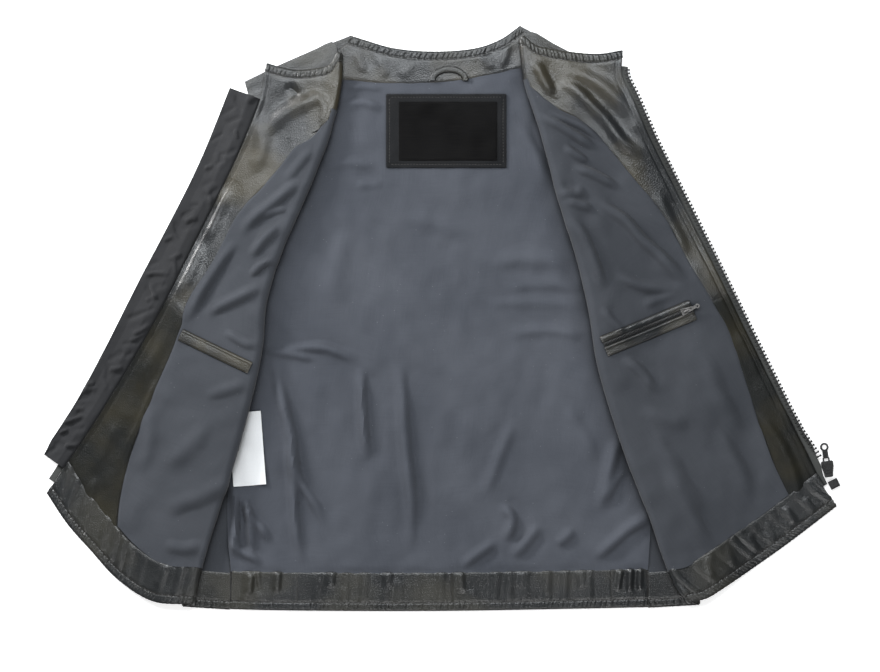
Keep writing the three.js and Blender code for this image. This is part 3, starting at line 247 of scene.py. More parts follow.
def relief(plan, creases):
    height = np.zeros(plan.shape[:-1])
    for points, width, rise in creases:
        line = PlanLine(points, 24).points
        reach = 4 * width
        low, high = line.min(0) - reach, line.max(0) + reach
        near = np.all((plan > low) & (plan < high), axis=-1)
        if not near.any():
            continue
        gap, share = nearest_on(plan[near], line)
        fade = smooth(share / CREASE_FADE) * smooth((1 - share) / CREASE_FADE)
        ridge = np.exp(-((gap / width) ** 2))
        trough = np.exp(-(((gap - TROUGH_AT * width) / (TROUGH_WIDTH * width)) ** 2))
        height[near] += rise * fade * (ridge - TROUGH_DEPTH * trough)
    return height


def unevenness(plan, seed, waves, shortest, longest, height):
    """Soft random waves, so that no wide surface is perfectly smooth"""
    draw = np.random.default_rng(seed)
    total = np.zeros(plan.shape[:-1])
    for _ in range(waves):
        turn = draw.uniform(0, math.pi)
        pitch = draw.uniform(shortest, longest)
        direction = np.array([math.cos(turn), math.sin(turn)]) * 2 * math.pi / pitch
        bend = draw.uniform(0.3, 1.2) * np.sin(plan @ turned(direction) * 0.6 + draw.uniform(0, 6))
        total += np.sin(plan @ direction + bend + draw.uniform(0, 6))
    return total * height / math.sqrt(waves)


# %% Where the creases lie
BACK_LINING_CREASES = [
    ([(-190, -32), (-166, -35), (-128, -35), (-106, -43), (-89, -52)], 5, 1.8),
    ([(-88, -53), (-87, -74), (-85, -123), (-80, -162)], 5, 2.4),
    ([(-197, -37), (-166, -42), (-133, -48)], 4, 1.2),
    ([(-56, -41), (-45, -63), (-42, -90), (-40, -134), (-34, -189), (-32, -222),
      (-34, -266)], 6, 2.2),
    ([(-186, -41), (-180, -68), (-172, -101), (-164, -134), (-161, -162), (-150, -189),
      (-133, -217), (-122, -242)], 5.5, 2.4),
    ([(-166, -134), (-163, -178), (-158, -244), (-153, -266), (-144, -275)], 5, 2.0),
    ([(-221, -189), (-210, -217), (-197, -233), (-186, -250)], 5, 1.8),
    ([(-234, -244), (-221, -257), (-204, -266), (-194, -273)], 4.5, 1.6),
    ([(-227, -180), (-226, -225), (-228, -272)], 4, 2.0),
    ([(-214, -196), (-210, -232), (-206, -268)], 4, 1.6),
    ([(48, -200), (59, -167), (81, -112)], 6, 1.3),
    ([(65, -206), (78, -222), (70, -250)], 5, 1.8),
    ([(63, -246), (41, -261), (28, -272), (24, -279)], 4.5, 1.6),
    ([(109, -228), (92, -250), (76, -266)], 5, 1.6),
    ([(147, -233), (136, -244), (125, -252)], 4.5, 1.2),
    ([(235, -217), (208, -233), (175, -261), (164, -268)], 5.5, 2.0),
    ([(195, -129), (186, -167), (173, -220)], 6, 1.8),
    ([(206, -162), (195, -178), (180, -206)], 5, 1.5),
    ([(-106, 253), (-84, 255), (-62, 251)], 4, 1.0),
    ([(-111, 233), (-87, 237), (-62, 229)], 5, 1.2),
    ([(-133, 166), (-100, 170), (-67, 165)], 6, 0.8),
    ([(-95, 145), (-62, 147)], 5, 0.7),
    ([(-56, 113), (-12, 103), (43, 91)], 9, 0.7),
    ([(43, 58), (98, 62), (147, 55)], 8, 0.8),
    ([(65, 31), (114, 35), (164, 30)], 7, 0.8),
    ([(43, 13), (109, 16), (164, 12)], 6, 0.7),
    ([(70, -19), (120, -16), (169, -22)], 6, 0.9),
    ([(81, 218), (103, 185), (118, 141)], 7, 0.9),
    ([(-106, 97), (-117, 42), (-122, -13)], 12, 0.7),
    ([(131, -90), (158, -134), (175, -167)], 8, 0.9),
]
LEFT_LINING_CREASES = [
    ([(106, 221), (125, 212), (147, 199), (172, 183)], 4, 1.8),
    ([(114, 226), (158, 207), (180, 190)], 3.5, 1.3),
    ([(134, 187), (147, 178), (164, 168)], 4, 1.4),
    ([(142, 165), (164, 157), (197, 141)], 4.5, 1.9),
    ([(129, 135), (147, 134), (158, 141)], 4, 1.2),
    ([(136, 127), (153, 121), (167, 118)], 4, 1.3),
    ([(162, 130), (180, 119), (202, 105), (219, 86), (241, 66), (274, 29)], 5, 2.2),
    ([(139, 108), (153, 91), (164, 69), (180, 25)], 5, 1.8),
    ([(241, -160), (262, -196), (280, -232), (300, -262)], 8, 1.6),
    ([(300, -120), (322, -160), (342, -205)], 8, 1.3),
    ([(186, 47), (219, 33), (274, 28)], 5, 1.4),
    ([(219, 11), (243, 19), (268, 24)], 4, 1.2),
    ([(197, -46), (219, -63), (235, -85)], 5, 1.4),
    ([(285, -35), (307, -90), (334, -145)], 9, 1.2),
    ([(230, -134), (263, -178), (290, -222)], 9, 1.1),
    ([(219, -101), (241, -112), (274, -118)], 8, 0.9),
    ([(175, 9), (188, -8), (202, -19)], 4, 1.0),
]
RIGHT_LINING_CREASES = [
    ([(-150, 152), (-177, 130), (-210, 102), (-221, 86)], 5, 1.9),
    ([(-221, 86), (-238, 64), (-260, 31), (-282, -8)], 5, 1.6),
    ([(-194, 34), (-221, 20), (-260, 2)], 5, 1.7),
    ([(-238, -16), (-216, -30), (-201, -35)], 4, 1.2),
    ([(-175, 102), (-197, 80), (-210, 62)], 4.5, 1.5),
    ([(-166, 119), (-183, 114), (-197, 106)], 4, 1.2),
    ([(-182, 62), (-197, 55), (-210, 42)], 3.5, 1.6),
    ([(-221, -178), (-265, -200), (-304, -213)], 9, 1.3),
    ([(-249, -112), (-276, -145), (-309, -167)], 9, 1.0),
    ([(-320, -90), (-320, -134), (-331, -178)], 8, 0.9),
    ([(-260, -250), (-282, -255), (-304, -250)], 6, 1.0),
    ([(-210, -74), (-232, -81), (-260, -90)], 6, 1.0),
    ([(-139, 185), (-155, 168), (-172, 146)], 5, 1.0),
]
LEFT_LEATHER_CREASES = [
    ([(103, 284), (110, 267), (120, 249), (127, 242)], 5, 2.2),
    ([(125, 260), (147, 251), (164, 234), (180, 218), (202, 190), (230, 174)], 6, 2.6),
    ([(131, 273), (164, 262), (188, 245), (210, 218)], 7, 1.8),
    ([(235, 141), (254, 102), (274, 62)], 6, 1.4),
    ([(340, -101), (360, -123), (378, -151), (400, -211)], 6, 2.2),
    ([(323, -13), (338, -41), (351, -68)], 6, 1.3),
    ([(367, -90), (389, -134), (408, -178)], 5, 1.6),
]
RIGHT_LEATHER_CREASES = [
    ([(-172, 257), (-164, 249), (-155, 240)], 5, -1.2),
    ([(-197, 196), (-172, 223), (-128, 245)], 7, 2.2),
    ([(-205, 227), (-197, 185), (-212, 152)], 8, 1.6),
    ([(-232, 146), (-245, 113), (-260, 75)], 7, 1.8),
    ([(-260, 86), (-276, 47), (-296, 14)], 6, 1.2),
    ([(-298, -2), (-309, -35), (-322, -59), (-333, -90)], 6, 1.5),
    ([(-298, -41), (-309, -68), (-320, -92), (-331, -118), (-342, -140), (-351, -162),
      (-358, -187)], 4, 1.6),
    ([(-377, -176), (-386, -195), (-394, -217)], 5, 1.6),
    ([(-353, -112), (-370, -145), (-384, -178)], 6, 1.4),
    ([(-144, 251), (-128, 229), (-133, 207)], 5, 1.0),
]

# %% [markdown]
# ## One front as one folded sheet
# Each front is a single panel that runs from its side seam, under the back, round a fold at the
# side, up the hidden leaf, round the fold that shows, and out over the stack to the zip. Every
# layer of the front is a part of this one sheet, moved out along its normal, so that layers never
# cross. "down" goes from neck to hem, 0 to 1. "across" counts the stretches named here.

# %% The folded sheet
SEAM, SIDE, UNDER, FOLD, TOP, EDGE = range(6)


def patch(left, right, top, bottom):
    """A plan patch between four lines that meet at its corners"""

    def plan(down, across):
        along, over = down[..., None], across[..., None]
        sides = mix(left(down), right(down), over)
        ends = mix(top(across), bottom(across), along)
        corners = [line(np.full_like(down, end)) for line in (left, right) for end in (0, 1)]
        upper = mix(corners[0], corners[2], over)
        lower = mix(corners[1], corners[3], over)
        return sides + ends - mix(upper, lower, along)

    return plan


class FoldedFront:
    def __init__(self, shape):
        self.shape, self.name, self.side = shape, shape["name"], shape["side"]
        self.fold = PlanLine(shape["fold"])
        self.edge = PlanLine(shape["front_edge"])
        self.outer = PlanLine(shape["armhole_and_side"])
        self.seam = PlanLine(shape["side_seam"])
        first, last = self.centre(np.array(0.0)), self.centre(np.array(1.0))
        hem = PlanLine([last, *shape["hem"], shape["front_edge"][-1]])
        neckline = PlanLine([first, *shape["neckline"], shape["front_edge"][0]])
        shoulder = PlanLine([shape["armhole_and_side"][0], *shape["shoulder"][::-1], first])
        side_end = PlanLine([shape["armhole_and_side"][-1], last])
        self.upper_plan = patch(self.centre, self.edge.at, neckline.at, hem.at)
        self.under_plan = patch(self.outer.at, self.centre, shoulder.at, side_end.at)
        self.stack = PlanLine([*shape["shoulder"], *shape["armhole_and_side"]])
        reach = np.linalg.norm(self.outer.points - np.array(shape["side_seam"][0]), axis=1)
        self.underarm = float(self.outer.places[np.argmin(reach)])
        self.join_line = PlanLine(shape["facing_edge"])

    def radius(self, down):
        middle = smooth(down / FOLD_TAPER) * smooth((1 - down) / FOLD_TAPER)
        return mix(FOLD_RADII[0], FOLD_RADII[1], middle)

    def centre(self, down):
        away = self.fold.across(down, self.side)
        return self.fold.at(down) + away * np.asarray(self.radius(down))[..., None]

    def upper_height(self, plan, down, across):
        outside = self.side * nearest_on(plan, self.stack.points)[0]
        off = smooth((outside - STACK_OVERHANG) / STACK_SLOPE)
        width = np.linalg.norm(self.edge.at(down) - self.centre(down), axis=-1)
        near = 1 - smooth(across * width / FOLD_SPREAD)
        fold_top = UNDER_LEAF_HEIGHT + 2 * self.radius(down)
        resting = mix(STACK_HEIGHT, SHELL_HEIGHT, off)
        return resting + (fold_top - STACK_HEIGHT) * near

    def under_height(self, plan, down):
        from_seam = smooth(down * self.fold.length / SEAM_DROP)
        gap = np.linalg.norm(plan - self.centre(down), axis=-1)
        drop = UNDER_LEAF_HEIGHT - SHELL_HEIGHT - LINING_BASE
        return UNDER_LEAF_HEIGHT - drop * (1 - from_seam) * smooth(gap / (2 * SEAM_DROP))

    def on_table(self, down, share):
        seam = self.seam.at((down - self.underarm) / (1 - self.underarm))
        return mix(seam, self.outer.at(down), share[:, None]), SHELL_HEIGHT

    def side_fold(self, down, share):
        turn = math.pi * (share - 0.5)
        out = self.outer.across(down, self.side) * (SIDE_FOLD_RADIUS * np.cos(turn))[:, None]
        return self.outer.at(down) + out, SHELL_HEIGHT + SIDE_FOLD_RADIUS * (1 + np.sin(turn))

    def under_leaf(self, down, share):
        plan = self.under_plan(down, share)
        return plan, self.under_height(plan, down)

    def shown_fold(self, down, share):
        turn, radius = math.pi * (share - 0.5), self.radius(down)
        out = self.fold.across(down, -self.side) * (radius * np.cos(turn))[:, None]
        return self.centre(down) + out, UNDER_LEAF_HEIGHT + radius * (1 + np.sin(turn))

    def upper_leaf(self, down, share):
        plan = self.upper_plan(down, share)
        return plan, self.upper_height(plan, down, share)

    def point(self, down, across):
        down, across = np.broadcast_arrays(np.asarray(down, float), np.asarray(across, float))
        result = np.zeros(down.shape + (3,))
        which = np.clip(np.floor(across), SEAM, TOP)
        stretches = (self.on_table, self.side_fold, self.under_leaf, self.shown_fold,
                     self.upper_leaf)
        for start, stretch in enumerate(stretches):
            mask = which == start
            if mask.any():
                result[mask, :2], result[mask, 2] = stretch(down[mask], across[mask] - start)
        return result

    def join(self, down, shift=0.0):
        """Where the lining meets the leather facing, as an "across" value"""
        down = np.atleast_1d(np.asarray(down, float))
        tries = np.linspace(0, 1, 240)
        grid_down, grid_across = np.meshgrid(down, tries, indexing="ij")
        gap = nearest_on(self.upper_plan(grid_down, grid_across), self.join_line.points)[0]
        outward = gap * self.side
        crossed = np.argmax(outward > 0, axis=1)
        crossed = np.where(outward.max(1) > 0, crossed, len(tries) - 1)
        before = np.maximum(crossed - 1, 0)
        rows = np.arange(len(down))
        low, high = outward[rows, before], outward[rows, crossed]
        step = np.where(high > low, -low / np.maximum(high - low, 1e-9), 0)
        place = tries[before] + np.clip(step, 0, 1) * (tries[1] - tries[0])
        opening = np.clip((down - self.shape["facing_reaches_fold"]) / 0.05, 0, 1)
        width = np.linalg.norm(self.edge.at(down) - self.centre(down), axis=-1)
        return TOP + np.clip((place + shift / width) * opening, 0, 1)


right, left = FoldedFront(RIGHT), FoldedFront(LEFT)
print(f"fold lengths {right.fold.length:.0f} and {left.fold.length:.0f} mm")

# %% [markdown]
# ## From a surface to cloth
# A piece of cloth is a thin closed wall: the same grid of points moved out twice along its
# normals, joined round the rim. Building the wall directly keeps the thickness even, and the
# piece's own UV map holds distances along the cloth in metres, so that a weave follows it.


# %% Walls and mesh objects
def grid_normals(points, side=1):
    down = np.gradient(points, axis=0)
    across = np.gradient(points, axis=1)
    return unit(np.cross(across, down)) * -side


def add_mesh(name, vertices, faces, uv=None, smooth_angle=50):
    mesh = bpy.data.meshes.new(name)
    mesh.from_pydata(vertices.tolist(), [], faces)
    if uv is not None:
        layer = mesh.uv_layers.new(name="cloth")
        corners = np.empty(len(mesh.loops), dtype=np.int32)
        mesh.loops.foreach_get("vertex_index", corners)
        layer.data.foreach_set("uv", uv[corners].astype(np.float32).ravel())
    mesh.polygons.foreach_set("use_smooth", [True] * len(mesh.polygons))
    mesh.set_sharp_from_angle(angle=math.radians(smooth_angle))
    mesh.validate()
    return link(bpy.data.objects.new(name, mesh))


def wall(name, points, normals, inner, outer, kept=None):
    """A closed wall over a grid, between two distances along its normals, in millimetres"""
    rows, columns = points.shape[:2]
    kept = np.ones((rows - 1, columns - 1), bool) if kept is None else kept
    lift = [np.broadcast_to(np.asarray(level, float), (rows, columns)) for level in (outer, inner)]
    layers = [points + normals * level[..., None] for level in lift]
    vertices = np.concatenate([layer.reshape(-1, 3) for layer in layers]) * MM
    number = np.arange(rows * columns).reshape(rows, columns)
    a, b, c, d = number[:-1, :-1], number[1:, :-1], number[1:, 1:], number[:-1, 1:]
    count = rows * columns
    top = np.stack([a, b, c, d], -1)[kept]
    faces = [top, top[:, ::-1] + count]
    framed = np.pad(kept, 1)
    open_sides = [
        (kept & ~framed[1:-1, :-2], a, b),
        (kept & ~framed[2:, 1:-1], b, c),
        (kept & ~framed[1:-1, 2:], c, d),
        (kept & ~framed[:-2, 1:-1], d, a),
    ]
    for bare, start, end in open_sides:
        s, e = start[bare], end[bare]
        faces.append(np.stack([e, s, s + count, e + count], -1))
    quads = np.concatenate(faces)
    used, quads = np.unique(quads, return_inverse=True)
    quads = quads.reshape(-1, 4)
    vertices = vertices[used]
    corner = vertices[quads]
    volume = np.einsum("ij,ij->i", corner[:, 0], np.cross(corner[:, 1], corner[:, 2])).sum()
    volume += np.einsum("ij,ij->i", corner[:, 0], np.cross(corner[:, 2], corner[:, 3])).sum()
    if volume < 0:
        quads = quads[:, ::-1]
    uv = np.stack([run_length(points, 1), run_length(points, 0)], -1).reshape(-1, 2) * MM
    return add_mesh(name, vertices, quads.tolist(), np.concatenate([uv, uv])[used])


# %% The cut of a piece, and a piece of cloth
def cut_of(points, kept=None):
    """The flat size of a piece, in metres: its widest and longest run, or for a slanting piece
    the smallest rectangle round its plan, and its area"""
    width = run_length(points, 1)[:, -1].max() * MM
    length = run_length(points, 0)[-1].max() * MM
    a, b, c, d = points[:-1, :-1], points[1:, :-1], points[1:, 1:], points[:-1, 1:]
    halves = [np.cross(b - a, c - a), np.cross(c - a, d - a)]
    cells = sum(np.linalg.norm(half, axis=-1) for half in halves) / 2
    kept = np.ones_like(cells, bool) if kept is None else kept
    area = cells[kept].sum() * MM**2
    if area < 0.45 * width * length:
        plan = points[:-1, :-1][kept][:, :2] * MM
        turns = np.radians(np.arange(0, 90, 2))
        spans = [np.ptp(plan @ [[math.cos(t), -math.sin(t)], [math.sin(t), math.cos(t)]], 0)
                 for t in turns]
        width, length = min(spans, key=lambda span: span[0] * span[1])
    return width, length, area


CUTS, SURFACES = {}, {}


def cloth(name, points, side=1, inner=0.0, thickness=CLOTH, raised=None, kept=None, level=None):
    """A cloth or leather piece from its surface, with its creases raised along the normals; the
    stretch marked as level lies flat on the table"""
    level = np.zeros(points.shape[:2], bool) if level is None else level
    normals = np.where(level[..., None], [0, 0, 1.0], grid_normals(points, side))
    if raised is not None:
        points = points + normals * raised[..., None]
        normals = np.where(level[..., None], [0, 0, 1.0], grid_normals(points, side))
    piece = wall(name, points, normals, inner, inner + thickness, kept)
    CUTS[name] = cut_of(points, kept)
    SURFACES[name] = (points + normals * (inner + thickness), normals)
    print(name, len(piece.data.polygons), "faces")
    return piece


# %% [markdown]
# ## Fronts: shell, lining and facings
# The four layers of a front read the same sheet. The shell is its middle, and the lining, facings
# and turned edges lie half a millimetre inside it. Rows and columns are spaced to suit each
# piece's borders, so every seam ends on a clean line.


# %% Rows and columns of a front
def spread(start, stop, steps):
    return np.linspace(start, stop, steps + 1)


def through(*stretches):
    """Even steps through stretches that follow each other, each a start, a stop and a count"""
    values = [spread(*stretch) for stretch in stretches]
    return np.concatenate([values[0], *(value[1:] for value in values[1:])])


def grid(rows, columns):
    return np.meshgrid(rows, columns, indexing="ij")


def between(across, near, far):
    """The stretch that shows, drawn in between a nearer and a farther limit"""
    share = np.clip((across - TOP) / (EDGE - TOP), 0, 1)
    return np.where(across >= TOP, mix(near, far, share), across), share


def front_grid(rows, columns, top=None, bottom=None, near=None, far=None):
    """down and across arrays between limits that may follow the other direction"""
    down, across = grid(rows, columns)
    if top is not None or bottom is not None:
        start = top(across) if top is not None else 0.0
        end = bottom(across) if bottom is not None else 1.0
        down = mix(start, end, down)
    if near is not None or far is not None:
        limit_down = down[:, -1]
        start = near(limit_down)[:, None] if near is not None else float(TOP)
        end = far(limit_down)[:, None] if far is not None else float(EDGE)
        across, _ = between(across, start, end)
    return down, across


LENGTH_KEYS = spread(SEAM, EDGE, 60)


def lengths_of(front):
    """How long the front is from neck to hem, at each key across it"""
    return run_length(front.point(*grid(spread(0, 1, 24), LENGTH_KEYS)))[-1]


def from_neck(front, depth):
    """The share down a front, at any place across it, that lies this deep below the neck"""
    return lambda across: depth / np.interp(across, LENGTH_KEYS, lengths_of(front))


def from_hem(front, depth):
    """The share down a front that lies this far above the hem"""

    def share(across):
        lengths = np.where(LENGTH_KEYS < FOLD, front.fold.length, lengths_of(front))
        return 1 - depth / np.interp(across, LENGTH_KEYS, lengths)

    return share


PAST_THE_SEAM = SEAM + 0.002
ROUND_THE_FOLDS = ((PAST_THE_SEAM, SIDE, 5), (SIDE, UNDER, 8), (UNDER, FOLD, 14), (FOLD, TOP, 12))


def leather_waves(plan, seed):
    return unevenness(plan, seed, 9, 26, 90, 0.28)


def cloth_waves(plan, seed):
    broad = unevenness(plan, seed, 8, 60, 170, 0.8)
    return broad + unevenness(plan, seed + 50, 12, 20, 50, 0.36)


def above(height, least=0.05, softness=0.35):
    """Keeps a height over a floor, with a soft corner where it meets it"""
    over = height - least
    return least + 0.5 * (over + np.sqrt(over**2 + softness**2)) - 0.5 * softness * 0.3


def on_top(across, plan_height):
    """Creases belong to the stretch that shows, and fade before the fold's underside"""
    return plan_height * smooth((across - FOLD - 0.3) / 0.6)


# %% Shells and linings
FRONT_CREASES = {
    "right": (RIGHT_LINING_CREASES, RIGHT_LEATHER_CREASES),
    "left": (LEFT_LINING_CREASES, LEFT_LEATHER_CREASES),
}
TUCKED_UNDER = 1
SHELL_FOLD_WIDTH, SHELL_FOLD_RISE = 1.6, 0.7
pieces = {}


def front_shell(front):
    """The outer leather: the facing's folds come through it broader and lower"""
    rows = through((0, front.underarm, 50), (front.underarm, 1, 90))
    down, across = front_grid(rows, through(*ROUND_THE_FOLDS, (TOP, EDGE, 48)))
    points = front.point(down, across)
    plan = points[..., :2]
    wider = [(line, width * SHELL_FOLD_WIDTH, rise * SHELL_FOLD_RISE)
             for line, width, rise in FRONT_CREASES[front.name][1]]
    folds = leather_waves(plan, 3 + front.side) + relief(plan, wider)
    raised = np.maximum(on_top(across, folds) + 0.1, 0)
    on_leaf = across[:1, :-1] >= UNDER
    kept = on_leaf | (rows[:-1, None] >= front.underarm - 1e-6)
    return cloth(f"{front.name}_front_leather", points, front.side, -LEATHER / 2, LEATHER, raised,
                 kept, across < SIDE)


# The lining lies still round the pocket's slider, which is a hard part in a fixed place
POCKET_SLIDER_AT = np.array([269, 5])
STILL_REACH, STILL_HEIGHT = (12, 30), 0.35


LINING_RISE, LINING_LOFT = 2.9, 1.0


def lining_folds(plan, creases, seed):
    """Cotton is thin and lively: its creases stand almost three times as high as drawn"""
    return LINING_RISE * relief(plan, creases) + cloth_waves(plan, seed) + LINING_LOFT


def lining_lift(front, plan, across):
    free = lining_folds(plan, FRONT_CREASES[front.name][0], 20 + front.side)
    gap = np.linalg.norm(plan - POCKET_SLIDER_AT, axis=-1)
    calm = 1 - smooth((gap - STILL_REACH[0]) / STILL_REACH[1])
    return on_top(across, above(mix(free, STILL_HEIGHT, calm)))


def front_lining(front):
    reach = front.shape["facing_reaches_fold"]
    rows = spread(0, 1, 230)
    columns = through(*ROUND_THE_FOLDS, (TOP, EDGE, 84))
    hem = from_hem(front, HEM_DEPTH - TUCKED_UNDER)
    down, across = front_grid(rows, columns, lambda across: reach, hem, far=front.join)
    points = front.point(down, across)
    raised = lining_lift(front, points[..., :2], across)
    share = (across - TOP) / np.maximum(front.join(down[:, -1])[:, None] - TOP, 1e-6)
    raised = raised - 0.5 * smooth((share - 0.985) / 0.015)
    on_leaf = across[:1, :-1] >= UNDER
    kept = on_leaf | (down[:-1, :1] >= front.underarm)
    return cloth(f"{front.name}_front_cotton", points, front.side, ON_SHELL, CLOTH, raised, kept,
                 across < SIDE)


for front in (right, left):
    pieces[f"{front.name}_front_shell"] = front_shell(front)
    pieces[f"{front.name}_front_lining"] = front_lining(front)

# %% [markdown]
# ## Leather facings and turned edges
# Where leather meets cotton, the seam pulls the leather down, so each facing rolls off at its
# seams. Along neck and hem the leather is turned and topstitched: the thread gathers it, which
# gives the row of small slanted puckers that catch the light.


# %% Seam rolls and puckers
SEAM_ROLL = (1.8, 0.4)
SEAM_GAP = 0.3
JOINT_SHARE = 0.0006
PLUMP = 0.3
STITCH_INSET = 1.4
EDGE_LIFT, EDGE_ROLL = 0.25, (1.2, 0.7)
FACING_RISE, BACK_PLEAT_RISE = 1.3, 1.6


def rolled_at(points, sides):
    """How far the leather drops towards the seams on the named sides of its grid"""
    reach, drop = SEAM_ROLL
    down = run_length(points, 0)
    over = run_length(points, 1)
    gaps = {"top": down, "bottom": down[-1] - down, "near": over, "far": over[:, -1:] - over}
    total = np.zeros(points.shape[:2])
    for side in sides:
        total = np.maximum(total, 1 - smooth(gaps[side] / reach))
    return -drop * total


def puckers(along, over, seed, pitch=4.6, height=0.45, slant=0.5):
    """Small uneven ridges that cross a stitched edge; "over" runs 0 to 1 across the edge"""
    draw = np.random.default_rng(seed)
    marks = np.arange(-20, along.max() + 20, pitch)
    marks = marks + draw.uniform(-0.35, 0.35, len(marks)) * pitch
    size = draw.uniform(0.4, 1.25, len(marks))
    lean = slant * pitch * (over - 0.5)
    nearest = np.clip(np.searchsorted(marks, along + lean) - 1, 0, len(marks) - 2)
    gap = np.minimum(abs(along + lean - marks[nearest]), abs(along + lean - marks[nearest + 1]))
    strength = np.interp(along + lean, marks, size)
    profile = np.sin(math.pi * np.clip(over, 0.04, 0.96)) ** 0.7
    return height * strength * profile * np.cos(math.pi * np.clip(gap / (0.5 * pitch), 0, 1))


def groove(distance, at, width=0.7, depth=0.35):
    return -depth * np.exp(-(((distance - at) / width) ** 2))


def turned_rim(points):
    """The leather rolls over at the front edge, with a soft groove behind, beside the zip"""
    over = run_length(points, 1)
    gap = over[:, -1:] - over
    return 0.5 * np.exp(-(((gap - 1.5) / 1.0) ** 2)) + groove(gap, 6, 1.6, 0.45)


def gathered(points, from_rim, seed, *form):
    """A turned and topstitched edge: puckers, the thread's groove and the rolled rim. "from_rim"
    runs 0 to 1 from the rim to the edge's inner side"""
    distance = from_rim * TOPSTITCHED_EDGE
    raised = puckers(run_length(points, 1), from_rim, seed, *form) + EDGE_LIFT
    raised = raised + groove(distance, TOPSTITCHED_EDGE - STITCH_INSET)
    return raised - EDGE_ROLL[1] * (1 - smooth(distance / EDGE_ROLL[0]))


# %% Facings of the fronts
def upper_facing(front):
    reach = front.shape["facing_reaches_fold"]
    joint = front.shape["facing_joint"] - JOINT_SHARE
    top = from_neck(front, TOPSTITCHED_EDGE + SEAM_GAP)
    high, low = spread(0, 1, 22), spread(0, 1, 96)[1:]
    showing = 72
    columns = through((FOLD - 0.08, TOP, 14), (TOP, EDGE, showing))
    row, across = grid(np.concatenate([high, low]), columns)
    above_the_join = np.arange(len(row))[:, None] < len(high)
    down = np.where(above_the_join, mix(top(across), reach, row), mix(reach, joint, row))
    near = np.where(down[:, -1] > reach, front.join(down[:, -1], SEAM_GAP), TOP)[:, None]
    across, share = between(across, near, float(EDGE))
    points = front.point(down, across)
    plan = points[..., :2]
    folds = FACING_RISE * relief(plan, FRONT_CREASES[front.name][1])
    folds = folds + leather_waves(plan, 31 + front.side)
    raised = on_top(across, folds)
    raised = raised + PLUMP + np.where(share > 0, rolled_at(points, ["top", "bottom"]), 0)
    far_off = 99
    width = run_length(points[:, -showing - 1:], 1)[:, -1:]
    seam = np.where(down > reach, width * share, far_off)
    raised = raised - SEAM_ROLL[1] * (1 - smooth(seam / SEAM_ROLL[0]))
    raised = raised + np.where(share > 0, turned_rim(points), 0)
    kept = (across[:-1, :-1] >= TOP) & (share[:-1, 1:] > 0) | (down[:-1, :1] < reach - 1e-9)
    return cloth(f"{front.name}_upper_facing", points, front.side, ON_SHELL, LEATHER, raised, kept)


def lower_facing(front):
    rows, columns = spread(0, 1, 110), spread(TOP, EDGE, 44)
    joint = front.shape["facing_joint"] + JOINT_SHARE
    bottom = from_hem(front, HEM_DEPTH + 0.8)
    down, across = front_grid(rows, columns, lambda across: joint, bottom,
                              lambda down: front.join(down, SEAM_GAP))
    points = front.point(down, across)
    plan = points[..., :2]
    raised = relief(plan, FRONT_CREASES[front.name][1]) + leather_waves(plan, 35 + front.side)
    raised = raised + PLUMP + rolled_at(points, ["top", "bottom", "near"]) + turned_rim(points)
    return cloth(f"{front.name}_lower_facing", points, front.side, ON_SHELL, LEATHER, raised)


# %% Turned edges and hem facings of the fronts
def front_neck_edge(front):
    rows = spread(0, 1, 14)
    columns = through((FOLD, TOP, 24), (TOP, EDGE, 150))
    down, across = front_grid(rows, columns, None, from_neck(front, TOPSTITCHED_EDGE))
    points = front.point(down, across)
    from_rim, _ = grid(rows, columns)
    raised = gathered(points, from_rim, 41 + front.side, 4.6, 0.45, -0.5)
    return cloth(f"{front.name}_neck_turned", points, front.side, ON_SHELL, LEATHER, raised)


def hem_columns(scale):
    return through((PAST_THE_SEAM, SIDE, 20 * scale), (SIDE, UNDER, 12), (UNDER, FOLD, 6 * scale),
                   (FOLD, TOP, 20), (TOP, EDGE, 110 * scale))


def front_hem_edge(front):
    rows, columns = spread(0, 1, 14), hem_columns(2)
    down, across = front_grid(rows, columns, from_hem(front, TOPSTITCHED_EDGE))
    points = front.point(down, across)
    from_rim, _ = grid(1 - rows, columns)
    raised = gathered(points, from_rim, 45 + front.side, 4.2, 0.46, 0.6)
    return cloth(f"{front.name}_hem_turned", points, front.side, ON_SHELL, LEATHER, raised)


FRONT_PLEATS = {
    "right": [([(-252, -279), (-258, -307)], 4, 1.6), ([(-245, -277), (-244, -305)], 3, 1.0),
              ([(-300, -272), (-311, -300)], 5, 0.9), ([(-338, -251), (-352, -277)], 5, 1.0)],
    "left": [([(290, -262), (297, -292)], 5, 1.3), ([(312, -248), (322, -278)], 4, 1.0),
             ([(336, -236), (347, -262)], 5, 1.4), ([(355, -223), (368, -248)], 4, 1.0),
             ([(376, -208), (389, -232)], 5, 1.4), ([(398, -198), (410, -220)], 4, 1.0)],
}


def front_hem_facing(front):
    top, bottom = from_hem(front, HEM_DEPTH), from_hem(front, TOPSTITCHED_EDGE + SEAM_GAP)
    down, across = front_grid(spread(0, 1, 26), hem_columns(1), top, bottom)
    points = front.point(down, across)
    plan = points[..., :2]
    over = 0.25 + 0.5 * spread(0, 1, 26)[:, None]
    gathers = puckers(run_length(points, 1), over, 53 + front.side, 17, 1.1, 0.35)
    pleats = above(relief(plan, FRONT_PLEATS[front.name]) + gathers + 0.4)
    raised = on_top(across, pleats) + 0.25 + rolled_at(points, ["top", "bottom"])
    return cloth(f"{front.name}_hem_band", points, front.side, ON_SHELL, LEATHER, raised)


for front in (right, left):
    pieces[f"{front.name}_front_facing_upper"] = upper_facing(front)
    pieces[f"{front.name}_front_facing_lower"] = lower_facing(front)
    pieces[f"{front.name}_neck_edge"] = front_neck_edge(front)
    pieces[f"{front.name}_hem_edge"] = front_hem_edge(front)
    pieces[f"{front.name}_hem_facing"] = front_hem_facing(front)

